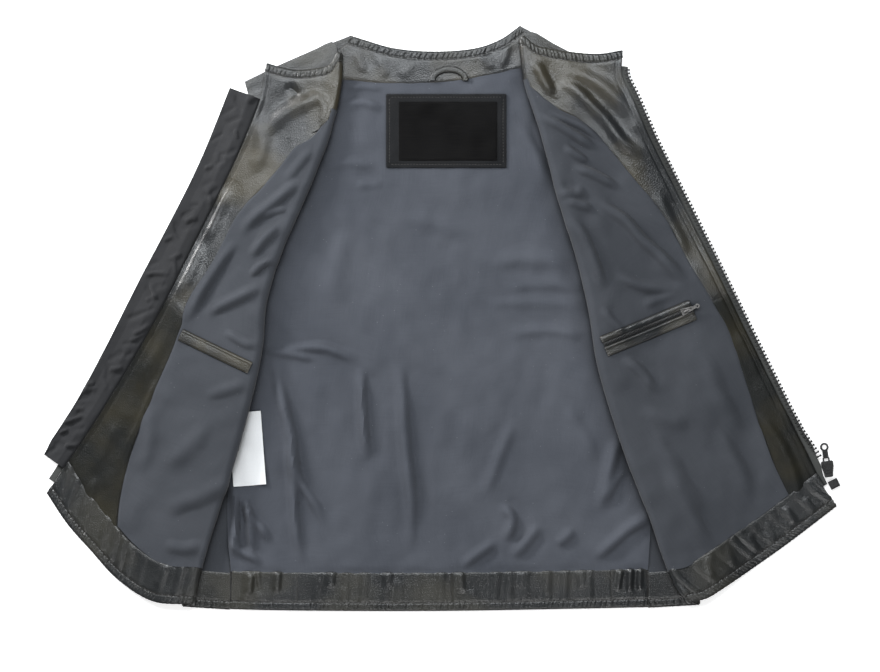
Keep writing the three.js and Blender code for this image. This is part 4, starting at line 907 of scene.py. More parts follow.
# %% [markdown]
# ## The back
# The back is one leather panel lying flat on the table, its lining above it. Facing, hem band and
# turned edges follow the neck and hem lines at fixed distances, as a maker cuts them.


# %% Plan lines of the back
class Chain:
    """Several plan lines end to end, read as one"""

    def __init__(self, lines):
        self.points = np.vstack([line.points for line in lines])
        run = run_length(self.points)
        self.places = run / run[-1]

    def at(self, share):
        return read_line(share, self.places, self.points)


def flat_grid(plan, height):
    points = np.zeros(plan.shape[:2] + (3,))
    points[..., :2] = plan
    points[..., 2] = height
    return points


def grid_shares(rows, columns):
    return grid(spread(0, 1, rows), spread(0, 1, columns))


def beside(line, share, distance):
    """A plan point at a distance from a line, on its right as it runs"""
    return line.at(share) + turned(line.along(share)) * np.asarray(distance)[..., None]


back_neck = PlanLine(BACK_NECK)
back_hem = PlanLine(BACK_HEM[::-1])


# %% Leather and lining of the back
def panel_side(shape):
    neck_end = BACK_NECK[0] if shape["side"] < 0 else BACK_NECK[-1]
    shoulder = PlanLine([neck_end, *shape["shoulder"][1:], shape["armhole_and_side"][0]])
    armhole = PlanLine(shape["armhole_and_side"][:6])
    return Chain([shoulder, armhole, PlanLine(shape["side_seam"])])


def back_leather():
    down, across = grid_shares(150, 70)
    plan = patch(panel_side(RIGHT).at, panel_side(LEFT).at, back_neck.at,
                 lambda share: back_hem.at(1 - share))(down, across)
    half_width, beyond_the_seam = 230, 0.3
    plan[..., 0] *= 1 + beyond_the_seam / half_width
    points = flat_grid(plan, 0)
    normals = np.zeros_like(points)
    normals[..., 2] = 1
    CUTS["back_leather"] = cut_of(points)
    return wall("back_leather", points, normals, 0, LEATHER)


LINING_OVERLAP, ARMHOLE_FACING, NEAR_THE_END = 1.2, 7, 0.0005
LINING_LOW = HEM_DEPTH - 0.6


def lining_side(shape):
    side = shape["side"]
    share = 1 - NEAR_THE_END if side < 0 else NEAR_THE_END
    top = NECK_FACING_EDGE[0] if side < 0 else NECK_FACING_EDGE[-1]
    arm = [(x - side * ARMHOLE_FACING, y) for x, y in shape["armhole_and_side"][1:5]]
    seam = [(x + side * LINING_OVERLAP, y) for x, y in shape["side_seam"][1:-1]]
    end = beside(back_hem, np.array(share), LINING_LOW) + np.array([side * LINING_OVERLAP, 0])
    return PlanLine([top, *arm, *seam, tuple(end)])


def back_lift(plan):
    return above(lining_folds(plan, BACK_LINING_CREASES, 61))


def back_cotton():
    down, across = grid_shares(230, 176)

    def low(share):
        turned_round = mix(1 - NEAR_THE_END, NEAR_THE_END, share)
        line = beside(back_hem, turned_round, np.full_like(share, LINING_LOW))
        line[..., 0] += LINING_OVERLAP * (2 * share - 1)
        return line

    def neck(share):
        return PlanLine(NECK_FACING_EDGE).at(share) + np.array([0, 0.6])

    plan = patch(lining_side(RIGHT).at, lining_side(LEFT).at, neck, low)(down, across)
    points = flat_grid(plan, LINING_BASE)
    lift = back_lift(plan) * smooth(down * 60) * smooth((1 - down) * 60)
    return cloth("back_cotton", points, 1, 0, CLOTH, lift)


# %% Neck facing
NECK_FACING_ENDS = [[(-196, 256), (-150, 275)], [(134, 288), (178, 264)]]
NECK_FOLDS = [([(-70, 290), (-60, 262)], 5, 0.9), ([(-30, 285), (-45, 262)], 6, 0.7),
              ([(48, 292), (56, 272)], 5, 0.9), ([(76, 305), (66, 274)], 4, 1.2),
              ([(-96, 296), (-84, 268)], 5, 1.1)]


def neck_facing():
    """Its middle follows the neck; an end at each side runs on under the shoulders"""
    end = 0.42
    down, across = grid_shares(26, 200)
    along = mix(-end, 1 + end, across)
    inset = np.full_like(along, TOPSTITCHED_EDGE + SEAM_GAP)
    inner = beside(back_neck, np.clip(along, 0, 1), inset)
    first, last = inner[0, along[0] > 0][0], inner[0, along[0] < 1][-1]
    left_end = PlanLine([*NECK_FACING_ENDS[0], first]).at(1 + np.minimum(along, 0) / end)
    right_end = PlanLine([last, *NECK_FACING_ENDS[1]]).at(np.maximum(along - 1, 0) / end)
    upper = np.where((along > 1)[..., None], right_end, inner)
    upper = np.where((along < 0)[..., None], left_end, upper)
    lower = PlanLine(NECK_FACING_EDGE).at(across) + np.array([0, SEAM_GAP])
    plan = mix(upper, lower, down[..., None])
    points = flat_grid(plan, LINING_BASE)
    raised = relief(plan, NECK_FOLDS) + leather_waves(plan, 67) + PLUMP
    raised = raised + rolled_at(points, ["top", "bottom"])
    return cloth("neck_facing", points, 1, 0, LEATHER, raised)


# %% Turned edges and hem band of the back
BACK_PLEATS = [([(-207, -279), (-210, -308)], 4, 1.5), ([(-202, -276), (-199, -300)], 3, 1.0),
               ([(-178, -277), (-180, -305)], 4, 1.2), ([(-118, -277), (-121, -300)], 5, 0.9),
               ([(22, -278), (24, -306)], 4, 1.2), ([(90, -278), (84, -300)], 6, 0.7),
               ([(198, -275), (193, -304)], 3.2, 1.5), ([(208, -274), (206, -304)], 3, 1.6),
               ([(218, -273), (217, -303)], 3, 1.5), ([(-60, -279), (-52, -300)], 6, 0.6),
               ([(150, -277), (158, -300)], 6, 0.7)]


def hem_grid(rows, columns, near, far, start, end):
    down, across = grid_shares(rows, columns)
    share = mix(start, end, across)
    return down, beside(back_hem, share, mix(near, far, down))


def back_hem_edge():
    down, plan = hem_grid(14, 380, 0, TOPSTITCHED_EDGE, 0.001, 0.999)
    points = flat_grid(plan, LINING_BASE)
    raised = gathered(points, down, 71, 4.2, 0.46, 0.6)
    return cloth("back_hem_turned", points, 1, 0, LEATHER, raised)


def back_neck_edge():
    down, across = grid_shares(14, 180)
    plan = beside(back_neck, across, mix(0, TOPSTITCHED_EDGE, down))
    points = flat_grid(plan, LINING_BASE)
    raised = gathered(points, down, 73, 4.4, 0.45, 0.5)
    return cloth("back_neck_turned", points, 1, 0, LEATHER, raised)


def hem_band(piece, start, end):
    low, high = BACK_HEM[0][0], BACK_HEM[-1][0]
    shares = [(high - x) / (high - low) for x in (start, end)]
    columns = int(abs(end - start) * 0.8)
    down, plan = hem_grid(24, columns, TOPSTITCHED_EDGE + SEAM_GAP, HEM_DEPTH, *shares)
    points = flat_grid(plan, LINING_BASE)
    gathers = puckers(run_length(points, 1), 0.25 + 0.5 * down, 77 + piece, 19, 0.8, 0.25)
    raised = above(BACK_PLEAT_RISE * relief(plan, BACK_PLEATS) + gathers + 0.4)
    raised = raised + rolled_at(points, ["top", "bottom", "near", "far"])
    return cloth(f"hem_band_{piece}", points, 1, 0, LEATHER, raised)


pieces["back_shell"] = back_leather()
pieces["back_lining"] = back_cotton()
pieces["back_neck_facing"] = neck_facing()
pieces["back_hem_edge"] = back_hem_edge()
pieces["back_neck_edge"] = back_neck_edge()
HEM_JOINTS = [226.5, 187, 12, -158, -230.5]
JOINT_GAP = 0.4
for number, (start, end) in enumerate(zip(HEM_JOINTS, HEM_JOINTS[1:]), 1):
    band = hem_band(number, start - JOINT_GAP / 2, end + JOINT_GAP / 2)
    pieces[f"back_hem_facing_{number}"] = band

# %% [markdown]
# ## Zip and wind flap
# The zip's tapes run just beyond each front edge. The right one is hidden by a doubled strip of
# cloth that keeps the wind out; the left one shows, and rises to the slider at its lower end.


# %% Strips beyond the front edges
def edge_strip(name, front, downs, start, end, middle, columns, thickness, extra=None):
    """A strip between two distances outside a front edge, with its middle at a height"""
    down, share = grid(downs, spread(0, 1, columns))
    out = front.edge.across(down, front.side)
    rim = front.point(down, np.full_like(down, EDGE))
    points = rim.copy()
    points[..., :2] = rim[..., :2] + out * mix(start(down), end(down), share)[..., None]
    points[..., 2] = rim[..., 2] - SHELL_HEIGHT + middle(down, share)
    raised = np.zeros_like(down) if extra is None else extra(points, share)
    return cloth(name, points, front.side, -thickness / 2, thickness, raised)


def table_reader(column):
    keys = [row[0] for row in LEFT_TAPE]
    return lambda down: np.interp(down, keys, [row[column] for row in LEFT_TAPE])


# down, height of the tape's outer side, reach from the leather
LEFT_TAPE = [(0, 1.5, 4.5), (0.78, 1.5, 4.5), (0.84, 4.2, 5), (0.895, 5.25, 8.6),
             (0.915, 5.25, 8.6), (0.935, 4.6, 5.6), (0.955, 3.6, 5)]
TAPE_BEYOND = 3.2
left_height, left_reach = table_reader(1), table_reader(2)
TAPE, TAPE_LEVEL, CHAIN_INSIDE = 0.8, 1.5, 4.8
RIB_HEIGHT, RIBS = 0.06, 5


def always(value):
    return lambda down, *_: np.full_like(down, value)


def tape_weave(points, share):
    return RIB_HEIGHT * np.cos(share * math.pi * 2 * RIBS)


pieces["left_zip_tape"] = edge_strip(
    "left_tape", left, spread(0.03, 0.955, 300), always(SEAM_GAP),
    lambda down: left_reach(down) + TAPE_BEYOND * (1 - smooth((down - 0.87) / 0.03)),
    lambda down, share: mix(TAPE_LEVEL, left_height(down), share), 8, TAPE, tape_weave)
pieces["right_zip_tape"] = edge_strip(
    "right_tape", right, spread(0.09, 0.975, 200), always(SEAM_GAP),
    always(CHAIN_INSIDE + 2.6), always(TAPE_LEVEL), 6, TAPE, tape_weave)

# %% Wind flap
FLAP_SECTION = [(0, 3), (0.1, 4.4), (0.31, 4.4), (0.48, 2.6), (0.7, 0.6), (1, 0.5)]
FLAP_TUCKS = 46
FLAP_WIDTH = 42
FLAP_CORNER_CUT = 0.07


def flap_wrinkles(plan):
    """Short slanting tucks all along the strip, where its cloth is eased into the curve"""
    draw = np.random.default_rng(83)
    rows = len(plan)
    middle = (plan[:, 0] + plan[:, -1]) / 2
    tucks = []
    for k in range(FLAP_TUCKS):
        row = int((k + draw.uniform(0.1, 0.9)) / FLAP_TUCKS * (rows - 1))
        along = unit(plan[min(row + 3, rows - 1), 20] - plan[max(row - 3, 0), 20])
        out = unit(plan[row, -1] - plan[row, 0])
        centre = middle[row] + out * draw.uniform(-12, 12)
        lean = unit(out + along * draw.uniform(0.5, 1.7) * draw.choice([1, 1, 1, -1]))
        half = draw.uniform(6, 15)
        bend = along * draw.uniform(-2, 2)
        line = [tuple(centre - lean * half), tuple(centre + bend), tuple(centre + lean * half)]
        width = draw.uniform(1.8, 3.2)
        tucks.append((line, width, draw.uniform(1.3, 2.8) * draw.choice([1, -0.8])))
    return tucks


def wind_flap():
    starts, ends, level_at = 0.075, 0.94, 0.7
    down, across = grid(spread(starts, ends, 330), spread(0, 1, 44))
    share = (down - starts) / (ends - starts)
    rim = right.point(down, np.full_like(down, EDGE))
    start = rim[..., :2] + right.edge.across(down, right.side) * 0.6
    plan = mix(start, PlanLine(FLAP_OUTER).at(share), across[..., None])
    corner = smooth((share - 0.955) / 0.045) * smooth((across - 0.72) / 0.28)
    plan = plan + (plan[:, :1] - plan) * (FLAP_CORNER_CUT * corner)[..., None]
    height = np.interp(across, *zip(*FLAP_SECTION))
    over_rim = (rim[..., 2] - SHELL_HEIGHT) * np.minimum(1, (1 - across) / level_at)
    points = np.concatenate([plan, (height + over_rim)[..., None]], axis=-1)
    wrinkles = relief(plan, flap_wrinkles(plan)) + unevenness(plan, 83, 14, 18, 60, 0.3)
    from_rim = across * FLAP_WIDTH
    rolled = 0.5 * np.exp(-((from_rim - 2.2) / 1.2) ** 2) - 0.5 * (1 - smooth(from_rim / 1.2))
    raised = above(wrinkles * smooth(across * 8) * smooth((1 - across) * 12) + 1.1)
    return cloth("wind_flap_cloth", points, right.side, -CLOTH / 2, CLOTH, raised + rolled)


pieces["wind_flap"] = wind_flap()

# %% [markdown]
# ## Labels, loop and pockets
# A leather panel with a satin face is stitched below the neck, its lettering left off. Pockets
# are leather strips sewn on the lining, so they take the lining's own shape and lie just over it.


# %% Panels on the back lining
ON_BACK_LINING = LINING_BASE + CLOTH + 0.35


def panel(name, centre, size, turn, base, thickness, step=1.4, extra=None):
    """A flat panel laid on the back lining: extra(x, y) adds height from its own middle"""
    rows, columns = (int(length / step) for length in (size[1], size[0]))
    down, across = grid_shares(rows, columns)
    x, y = size[0] * (across - 0.5), size[1] * (0.5 - down)
    angle = math.radians(turn)
    plan = np.stack([x * math.cos(angle) - y * math.sin(angle) + centre[0],
                     x * math.sin(angle) + y * math.cos(angle) + centre[1]], axis=-1)
    points = flat_grid(plan, base)
    raised = back_lift(plan) + (extra(x, y) if extra else 0)
    return cloth(name, points, 1, 0, thickness, raised)


def rounded_rim(x, y, size, reach=1.4, drop=0.25):
    gap = np.minimum(size[0] / 2 - abs(x), size[1] / 2 - abs(y))
    return -drop * (1 - smooth(gap / reach))


LABEL, LABEL_SIZE = (5.8, 205), (132, 81)
FACE, FACE_SIZE = (7.7, 204.6), (108, 65)
LABEL_STITCH = 3.2


def label_frame(x, y):
    gap = np.minimum(LABEL_SIZE[0] / 2 - abs(x), LABEL_SIZE[1] / 2 - abs(y))
    padded = 0.1 * smooth((gap - LABEL_STITCH) / 3) * (1 - smooth((gap - 9) / 3))
    return rounded_rim(x, y, LABEL_SIZE) + groove(gap, LABEL_STITCH, 0.8, 0.3) + padded


def satin(x, y):
    gap = np.minimum(FACE_SIZE[0] / 2 - abs(x), FACE_SIZE[1] / 2 - abs(y))
    plan = np.stack([x, y], axis=-1)
    soft = unevenness(plan, 91, 10, 22, 60, 0.1) * smooth(gap / 12)
    ribs = 0.05 * np.cos(y * 2 * math.pi / 21 + 0.5 * np.sin(x / 17)) * smooth(gap / 6)
    return 0.25 + soft + ribs - 0.3 * (1 - smooth(gap / 1.5))


def care_label(x, y):
    curl = 1.6 * smooth((x - 6) / 12) * smooth((-y - 10) / 30)
    return 0.3 + curl + 0.35 * np.sin(x / 9 + y / 30)


pieces["label_frame"] = panel("label_leather", LABEL, LABEL_SIZE, 0, ON_BACK_LINING, LEATHER,
                              1.1, label_frame)
ON_LABEL = ON_BACK_LINING + LEATHER + 0.2
pieces["label_face"] = panel("label_satin", FACE, FACE_SIZE, 0, ON_LABEL, 0.5, 1.4, satin)
pieces["care_label"] = panel("care_label_ribbon", (-213, -146), (36, 81), 4.5,
                             ON_BACK_LINING, 0.5, 2, care_label)


# %% Hanger loop
LOOP_AT, LOOP_REACH, LOOP_RISE = (9, 261), 21.5, 16
LOOP_WIDTH, LOOP_THICKNESS, LOOP_SQUARE = 6.8, 2.6, 0.7


def squarish(value, power):
    """Makes a sine or cosine rise faster, so that a round section gets flatter sides"""
    return np.sign(value) * abs(value) ** power


def hanger_loop():
    """A rounded strap along an arch, sewn under the facing's edge"""
    turn, around = np.meshgrid(spread(0, math.pi, 60), spread(0, 2 * math.pi, 14), indexing="ij")
    middle = LOOP_WIDTH / 2
    arch = np.stack([LOOP_AT[0] - np.cos(turn) * (LOOP_REACH - middle),
                     LOOP_AT[1] + np.sin(turn) * (LOOP_RISE - middle)], axis=-1)
    out = unit(np.stack([-np.cos(turn), np.sin(turn)], axis=-1))
    plan = arch + out * (squarish(np.cos(around), LOOP_SQUARE) * middle)[..., None]
    base = LINING_BASE + LEATHER + 0.5
    height = base + LOOP_THICKNESS / 2 * (1 + squarish(np.sin(around), LOOP_SQUARE))
    points = np.concatenate([plan, height[..., None]], axis=-1)
    rings, sides = points.shape[0], points.shape[1] - 1
    vertices = points[:, :-1].reshape(-1, 3) * MM
    number = np.arange(rings * sides).reshape(rings, sides)
    after = np.roll(number, -1, axis=1)
    quads = np.stack([number[:-1], number[1:], after[1:], after[:-1]], -1).reshape(-1, 4).tolist()
    ends = [number[0].tolist(), number[-1][::-1].tolist()]
    shares = np.stack([run_length(points, 1)[:, :-1], run_length(points, 0)[:, :-1]], -1)
    return add_mesh("loop_strap", vertices, quads + ends, shares.reshape(-1, 2) * MM)


pieces["hanger_loop"] = hanger_loop()


# %% Pockets on the fronts' linings
def place_of(front, plan):
    """down and across of plan points on an upper leaf, by Newton steps"""
    down, across = np.full(plan.shape[:-1], 0.5), np.full(plan.shape[:-1], 0.4)
    step = 1e-4
    for _ in range(12):
        here = front.upper_plan(down, across)
        by_down = (front.upper_plan(down + step, across) - here) / step
        by_across = (front.upper_plan(down, across + step) - here) / step
        miss = plan - here
        size = by_down[..., 0] * by_across[..., 1] - by_down[..., 1] * by_across[..., 0]
        down = down + (miss[..., 0] * by_across[..., 1] - miss[..., 1] * by_across[..., 0]) / size
        across = across + (by_down[..., 0] * miss[..., 1] - by_down[..., 1] * miss[..., 0]) / size
        down, across = np.clip(down, 0, 1), np.clip(across, 0, 1)
    return down, across


def on_leaf(front, plan):
    """The lining's top surface and normal above plan points of an upper leaf"""
    down, across = place_of(front, plan)
    step = 0.003
    here = [front.point(down + i * step, TOP + across + j * step) for i, j in
            ((0, 0), (1, 0), (0, 1))]
    normal = unit(np.cross(here[2] - here[0], here[1] - here[0])) * -front.side
    lifted = lining_lift(front, plan, TOP + across)
    return here[0] + normal * (ON_SHELL + CLOTH + lifted)[..., None], normal


def pocket_strip(name, front, ends, start, end, thickness, columns, profile, step=1.5):
    """A strip of the lining's surface beside a line, between two distances across it"""
    first, last = (np.array(point, float) for point in ends)
    along = unit(last - first)
    up = np.array([-along[1], along[0]])
    length = np.linalg.norm(last - first)
    share, over = grid_shares(int(length / step), columns)
    plan = mix(first, last, share[..., None]) + up * mix(start, end, over)[..., None]
    points, _ = on_leaf(front, plan)
    tip = np.minimum(share, 1 - share) * length
    raised = 0.35 + profile(over, share * length) - 0.4 * (1 - smooth(tip / 1.5))
    return cloth(name, points, 1 if end > start else -1, 0, thickness, raised)


ZIP_POCKET = [(178, -33), (276, 8)]
WELT_POCKET = [(-286, -21), (-209.5, -58.2)]


def rolled_welt(over, along):
    return 0.9 * np.sin(math.pi * np.clip(over, 0, 1)) ** 0.6 + 0.12 * np.sin(along / 5.1) - 0.4


def flat_welt(over, along):
    lip = 0.8 * np.exp(-(((over - 0.1) / 0.12) ** 2))
    rims = 0.3 * (1 - smooth(over * 10)) + 0.3 * (1 - smooth((1 - over) * 8))
    return lip - rims + 0.1 * np.sin(along / 6.3)


def open_welt(over, along):
    lip = 0.45 * np.exp(-(((over - 0.9) / 0.07) ** 2))
    rims = 0.5 * (1 - smooth((1 - over) * 14)) + 0.3 * (1 - smooth(over * 8))
    return 0.3 * np.sin(math.pi * over) + lip - rims


pieces["left_pocket_welt_upper"] = pocket_strip(
    "pocket_welt_upper", left, ZIP_POCKET, 3.2, 9.2, 1.4, 14, rolled_welt)
pieces["left_pocket_welt_lower"] = pocket_strip(
    "pocket_welt_lower", left, ZIP_POCKET, -3.2, -13, 1.2, 20, flat_welt)
pieces["right_pocket_welt"] = pocket_strip(
    "open_pocket_welt", right, WELT_POCKET, -6, 6, 1.4, 26, open_welt)

# %% [markdown]
# ## Materials
# All finishes are procedural. Leather takes its grain from the vest's own space; woven cloth takes
# its threads from each piece's UV map, which holds distances along the cloth, so the weave turns
# with the cut of each panel.


# %% A small helper to wire shader nodes
class Finish:
    def __init__(self, name, **settings):
        self.material = bpy.data.materials.new(name)
        self.material.use_nodes = True
        self.tree = self.material.node_tree
        self.shader = self.tree.nodes["Principled BSDF"]
        for socket, value in settings.items():
            self.set(self.shader, socket.replace("_", " "), value)

    def set(self, node, socket, value):
        target = node.inputs[socket]
        if isinstance(value, bpy.types.NodeSocket):
            self.tree.links.new(value, target)
        elif hasattr(value, "__len__") and target.type == "RGBA":
            target.default_value = (*value, 1)
        else:
            target.default_value = value

    def node(self, kind, output=0, modes=None, **settings):
        made = self.tree.nodes.new(f"ShaderNode{kind}")
        for key, value in (modes or {}).items():
            setattr(made, key, value)
        for socket, value in settings.items():
            place = int(socket[1:]) if socket[0] == "i" and socket[1:].isdigit() else None
            self.set(made, socket.replace("_", " ") if place is None else place, value)
        return made.outputs[output]

    def place(self, scale=(1, 1, 1), along_cloth=False):
        """The vest's own space, or distances along the cloth from the piece's UV map"""
        if along_cloth:
            start = self.node("UVMap", modes={"uv_map": "cloth"})
        else:
            start = self.node("TexCoord", "Object")
        return self.node("Mapping", Vector=start, Scale=scale)

    def noise(self, place, scale, detail=2.0):
        return self.node("TexNoise", Vector=place, Scale=scale, Detail=detail)

    def range(self, value, low, high, start=0.0, stop=1.0):
        return self.node("MapRange", Value=value, From_Min=low, From_Max=high,
                         To_Min=start, To_Max=stop)

    def blend(self, share, first, second):
        return self.node("Mix", 2, {"data_type": "RGBA"}, i0=share, i6=first, i7=second)

    def maths(self, kind, first, second=0.0):
        return self.node("Math", modes={"operation": kind}, i0=first, i1=second)

    def bump(self, height, distance, strength=1.0, normal=None):
        settings = dict(Height=height, Distance=distance, Strength=strength)
        if normal is not None:
            settings["Normal"] = normal
        return self.node("Bump", **settings)


# %% Leather
FOLD_REACH = 0.025
BETWEEN_LEATHERS = 0.4


def painted_fold_shade(made, colour, deep):
    """Painted shade: the colour sinks to a deeper one where the cloth closes on itself, by ambient
    occlusion, for the shade that falls in folds and crevices
    """
    openness = made.node("AmbientOcclusion", "AO", {"samples": 6}, Distance=FOLD_REACH)
    return made.blend(made.range(openness, 0.3, 1.0), deep, colour)


LEATHER_GRAIN = 430.0


def leather(name, dark, warm, rough, fold_shine=0.25):
    """Semi-gloss cowhide: cellular grain, soft wrinkles, warm patches that are partly the hide's
    tone and partly a painted warm sheen, paler edges that are partly worn and partly a painted
    sheen on the fold ridges, and painted shade in its folds
    """
    made = Finish(name)
    here = made.place()
    # warm patches: partly the hide's own tone, partly a painted warm sheen
    patches = made.range(made.noise(here, 11, 4), 0.46, 0.62)
    colour = made.blend(patches, dark, warm)
    # paler colour on convex ridges: partly rubbed edges, partly a painted sheen on the fold ridges
    wear_and_sheen = made.range(made.node("NewGeometry", "Pointiness"), 0.52, 0.6, 0, fold_shine)
    colour = made.blend(wear_and_sheen, colour, (0.06, 0.056, 0.05))
    # painted shade: the leather darkens to near black in its folds and crevices
    made.set(made.shader, "Base Color", painted_fold_shade(made, colour, (0.003, 0.003, 0.003)))
    gloss = made.range(made.noise(here, 22, 4), 0.35, 0.65, rough - 0.05, rough + 0.07)
    made.set(made.shader, "Roughness", gloss)
    made.set(made.shader, "Specular IOR Level", 0.6 if rough < BETWEEN_LEATHERS else 0.22)
    wobble = made.noise(here, 300, 2)
    bent = made.node("VectorMath", modes={"operation": "ADD"}, i0=here,
                     i1=made.maths("MULTIPLY", wobble, 0.0015))
    cells = made.node("TexVoronoi", modes={"feature": "DISTANCE_TO_EDGE"}, Vector=bent,
                      Scale=LEATHER_GRAIN)
    normal = made.bump(made.range(cells, 0.0, 0.28), 0.00015, 0.65)
    normal = made.bump(made.noise(here, 150, 2), 0.0003, 0.4, normal)
    normal = made.bump(made.noise(here, 40, 2), 0.0016, 0.5, normal)
    made.set(made.shader, "Normal", normal)
    return made.material


# %% Woven cloth
def woven(name, light, dark, pitch=0.0007, slub=0.3, rough=0.86, sheen=0.15,
          relief_height=0.0001, flecks=0.0):
    """Plain weave: threads over and under at a pitch in metres, with thick places and flecks"""
    made = Finish(name, Roughness=rough, Sheen_Weight=sheen, Sheen_Roughness=0.45)
    made.set(made.shader, "Specular IOR Level", 0.25)
    here = made.place(along_cloth=True)
    split = made.tree.nodes.new("ShaderNodeSeparateXYZ")
    made.tree.links.new(here, split.inputs[0])
    turn = math.pi / pitch
    warp = made.maths("SINE", made.maths("MULTIPLY", split.outputs["X"], turn))
    weft = made.maths("SINE", made.maths("MULTIPLY", split.outputs["Y"], turn))
    weave = made.range(made.maths("MULTIPLY", warp, weft), -1, 1)
    along = made.noise(made.place((25, 2500, 1), True), 1, 2)
    over = made.noise(made.place((2500, 25, 1), True), 1, 2)
    threads = made.range(made.maths("ADD", along, over), 0.75, 1.25)
    body = made.place()
    cloudy = made.range(made.noise(body, 11, 5), 0.3, 0.7)
    shade = made.maths("ADD", made.maths("MULTIPLY", threads, slub),
                       made.maths("MULTIPLY", cloudy, 1 - slub))
    colour = made.blend(shade, dark, light)
    if flecks:
        spots = made.node("TexVoronoi", Vector=body, Scale=95)
        fleck = made.range(spots, 0.045, 0.02, 0, flecks)
        colour = made.blend(fleck, colour, (0.35, 0.36, 0.38))
    # painted shade: the cloth darkens to 0.12 of its dark tone in its folds and crevices
    deep = tuple(0.12 * part for part in dark)
    made.set(made.shader, "Base Color", painted_fold_shade(made, colour, deep))
    normal = made.bump(weave, relief_height, 0.6)
    normal = made.bump(threads, relief_height, 0.5, normal)
    normal = made.bump(made.noise(body, 60, 5), 0.0011, 0.35, normal)
    made.set(made.shader, "Normal", normal)
    return made.material


# %% Satin, ribbon and hard parts
def satin_finish():
    made = Finish("label_satin", Roughness=0.6, Specular_IOR_Level=0.04)
    lines = made.noise(made.place((40, 2600, 1), True), 1, 2)
    shade = made.range(lines, 0.3, 0.7)
    colour = made.blend(shade, (0.004, 0.004, 0.0042), (0.008, 0.0075, 0.0075))
    made.set(made.shader, "Base Color", colour)
    made.set(made.shader, "Anisotropic", 0.5)
    made.set(made.shader, "Normal", made.bump(lines, 0.00008, 0.5))
    return made.material


def hard_finish(name, colour, rough, metallic=0.0, scratch=0.12):
    made = Finish(name, Metallic=metallic)
    here = made.place()
    scuffs = made.noise(here, 900, 4)
    worn = made.range(made.node("NewGeometry", "Pointiness"), 0.52, 0.62, 0, 0.5)
    paler = tuple(min(1, 3.2 * part + 0.02) for part in colour)
    made.set(made.shader, "Base Color", made.blend(worn, colour, paler))
    gloss = made.range(scuffs, 0.3, 0.7, rough - scratch, rough + scratch)
    made.set(made.shader, "Roughness", gloss)
    made.set(made.shader, "Normal", made.bump(made.noise(here, 500, 3), 0.00005, 0.3))
    return made.material


black_leather = leather("black_leather", (0.012, 0.0135, 0.0145), (0.025, 0.024, 0.018), 0.34)
facing_leather = leather("facing_leather", (0.0125, 0.014, 0.0155), (0.041, 0.035, 0.021), 0.33)
# painted shade: a darker, duller copy of the facing leather for the lower facings, which lie
# darker under the light than the upper ones
shaded_lower_leather = leather("lower_facing_leather", (0.009, 0.0098, 0.009), (0.021, 0.0185, 0.0105),
                        0.42, fold_shine=0.1)
label_leather = leather("label_leather", (0.006, 0.0065, 0.0078), (0.008, 0.0078, 0.0085),
                        0.7, fold_shine=0.05)
lining_cotton = woven("lining_cotton", (0.090, 0.097, 0.115), (0.054, 0.060, 0.074), flecks=0.5)
# painted shade: a darker copy of the same lining cotton for the fronts, for their darker look
# under the light
front_cotton = woven("front_lining_cotton", (0.064, 0.069, 0.080), (0.039, 0.043, 0.051),
                     flecks=0.4)
flap_cotton = woven("flap_cotton", (0.028, 0.0285, 0.031), (0.015, 0.0155, 0.017), 0.0006, 0.35)
zip_tape = woven("zip_tape", (0.085, 0.088, 0.084), (0.05, 0.052, 0.05), 0.0009, 0.4, 0.8)
care_ribbon = woven("care_label_ribbon", (0.97, 0.98, 0.99), (0.9, 0.91, 0.92), 0.0005, 0.5, 0.6,
                    0.1, 0.00004)
label_black = satin_finish()
zip_plastic = hard_finish("zip_plastic", (0.012, 0.012, 0.012), 0.34)
zip_metal = hard_finish("zip_metal", (0.16, 0.155, 0.15), 0.32, 1.0, 0.08)
thread = hard_finish("sewing_thread", (0.011, 0.010, 0.0095), 0.55)
print("materials", len(bpy.data.materials))

# %% [markdown]
# ## Teeth and stitches
# A zip's teeth and a seam's stitches are one small part repeated at an even pitch. Each row is a
# set of plain points with two directions; a Geometry Nodes tree puts the small part on them.


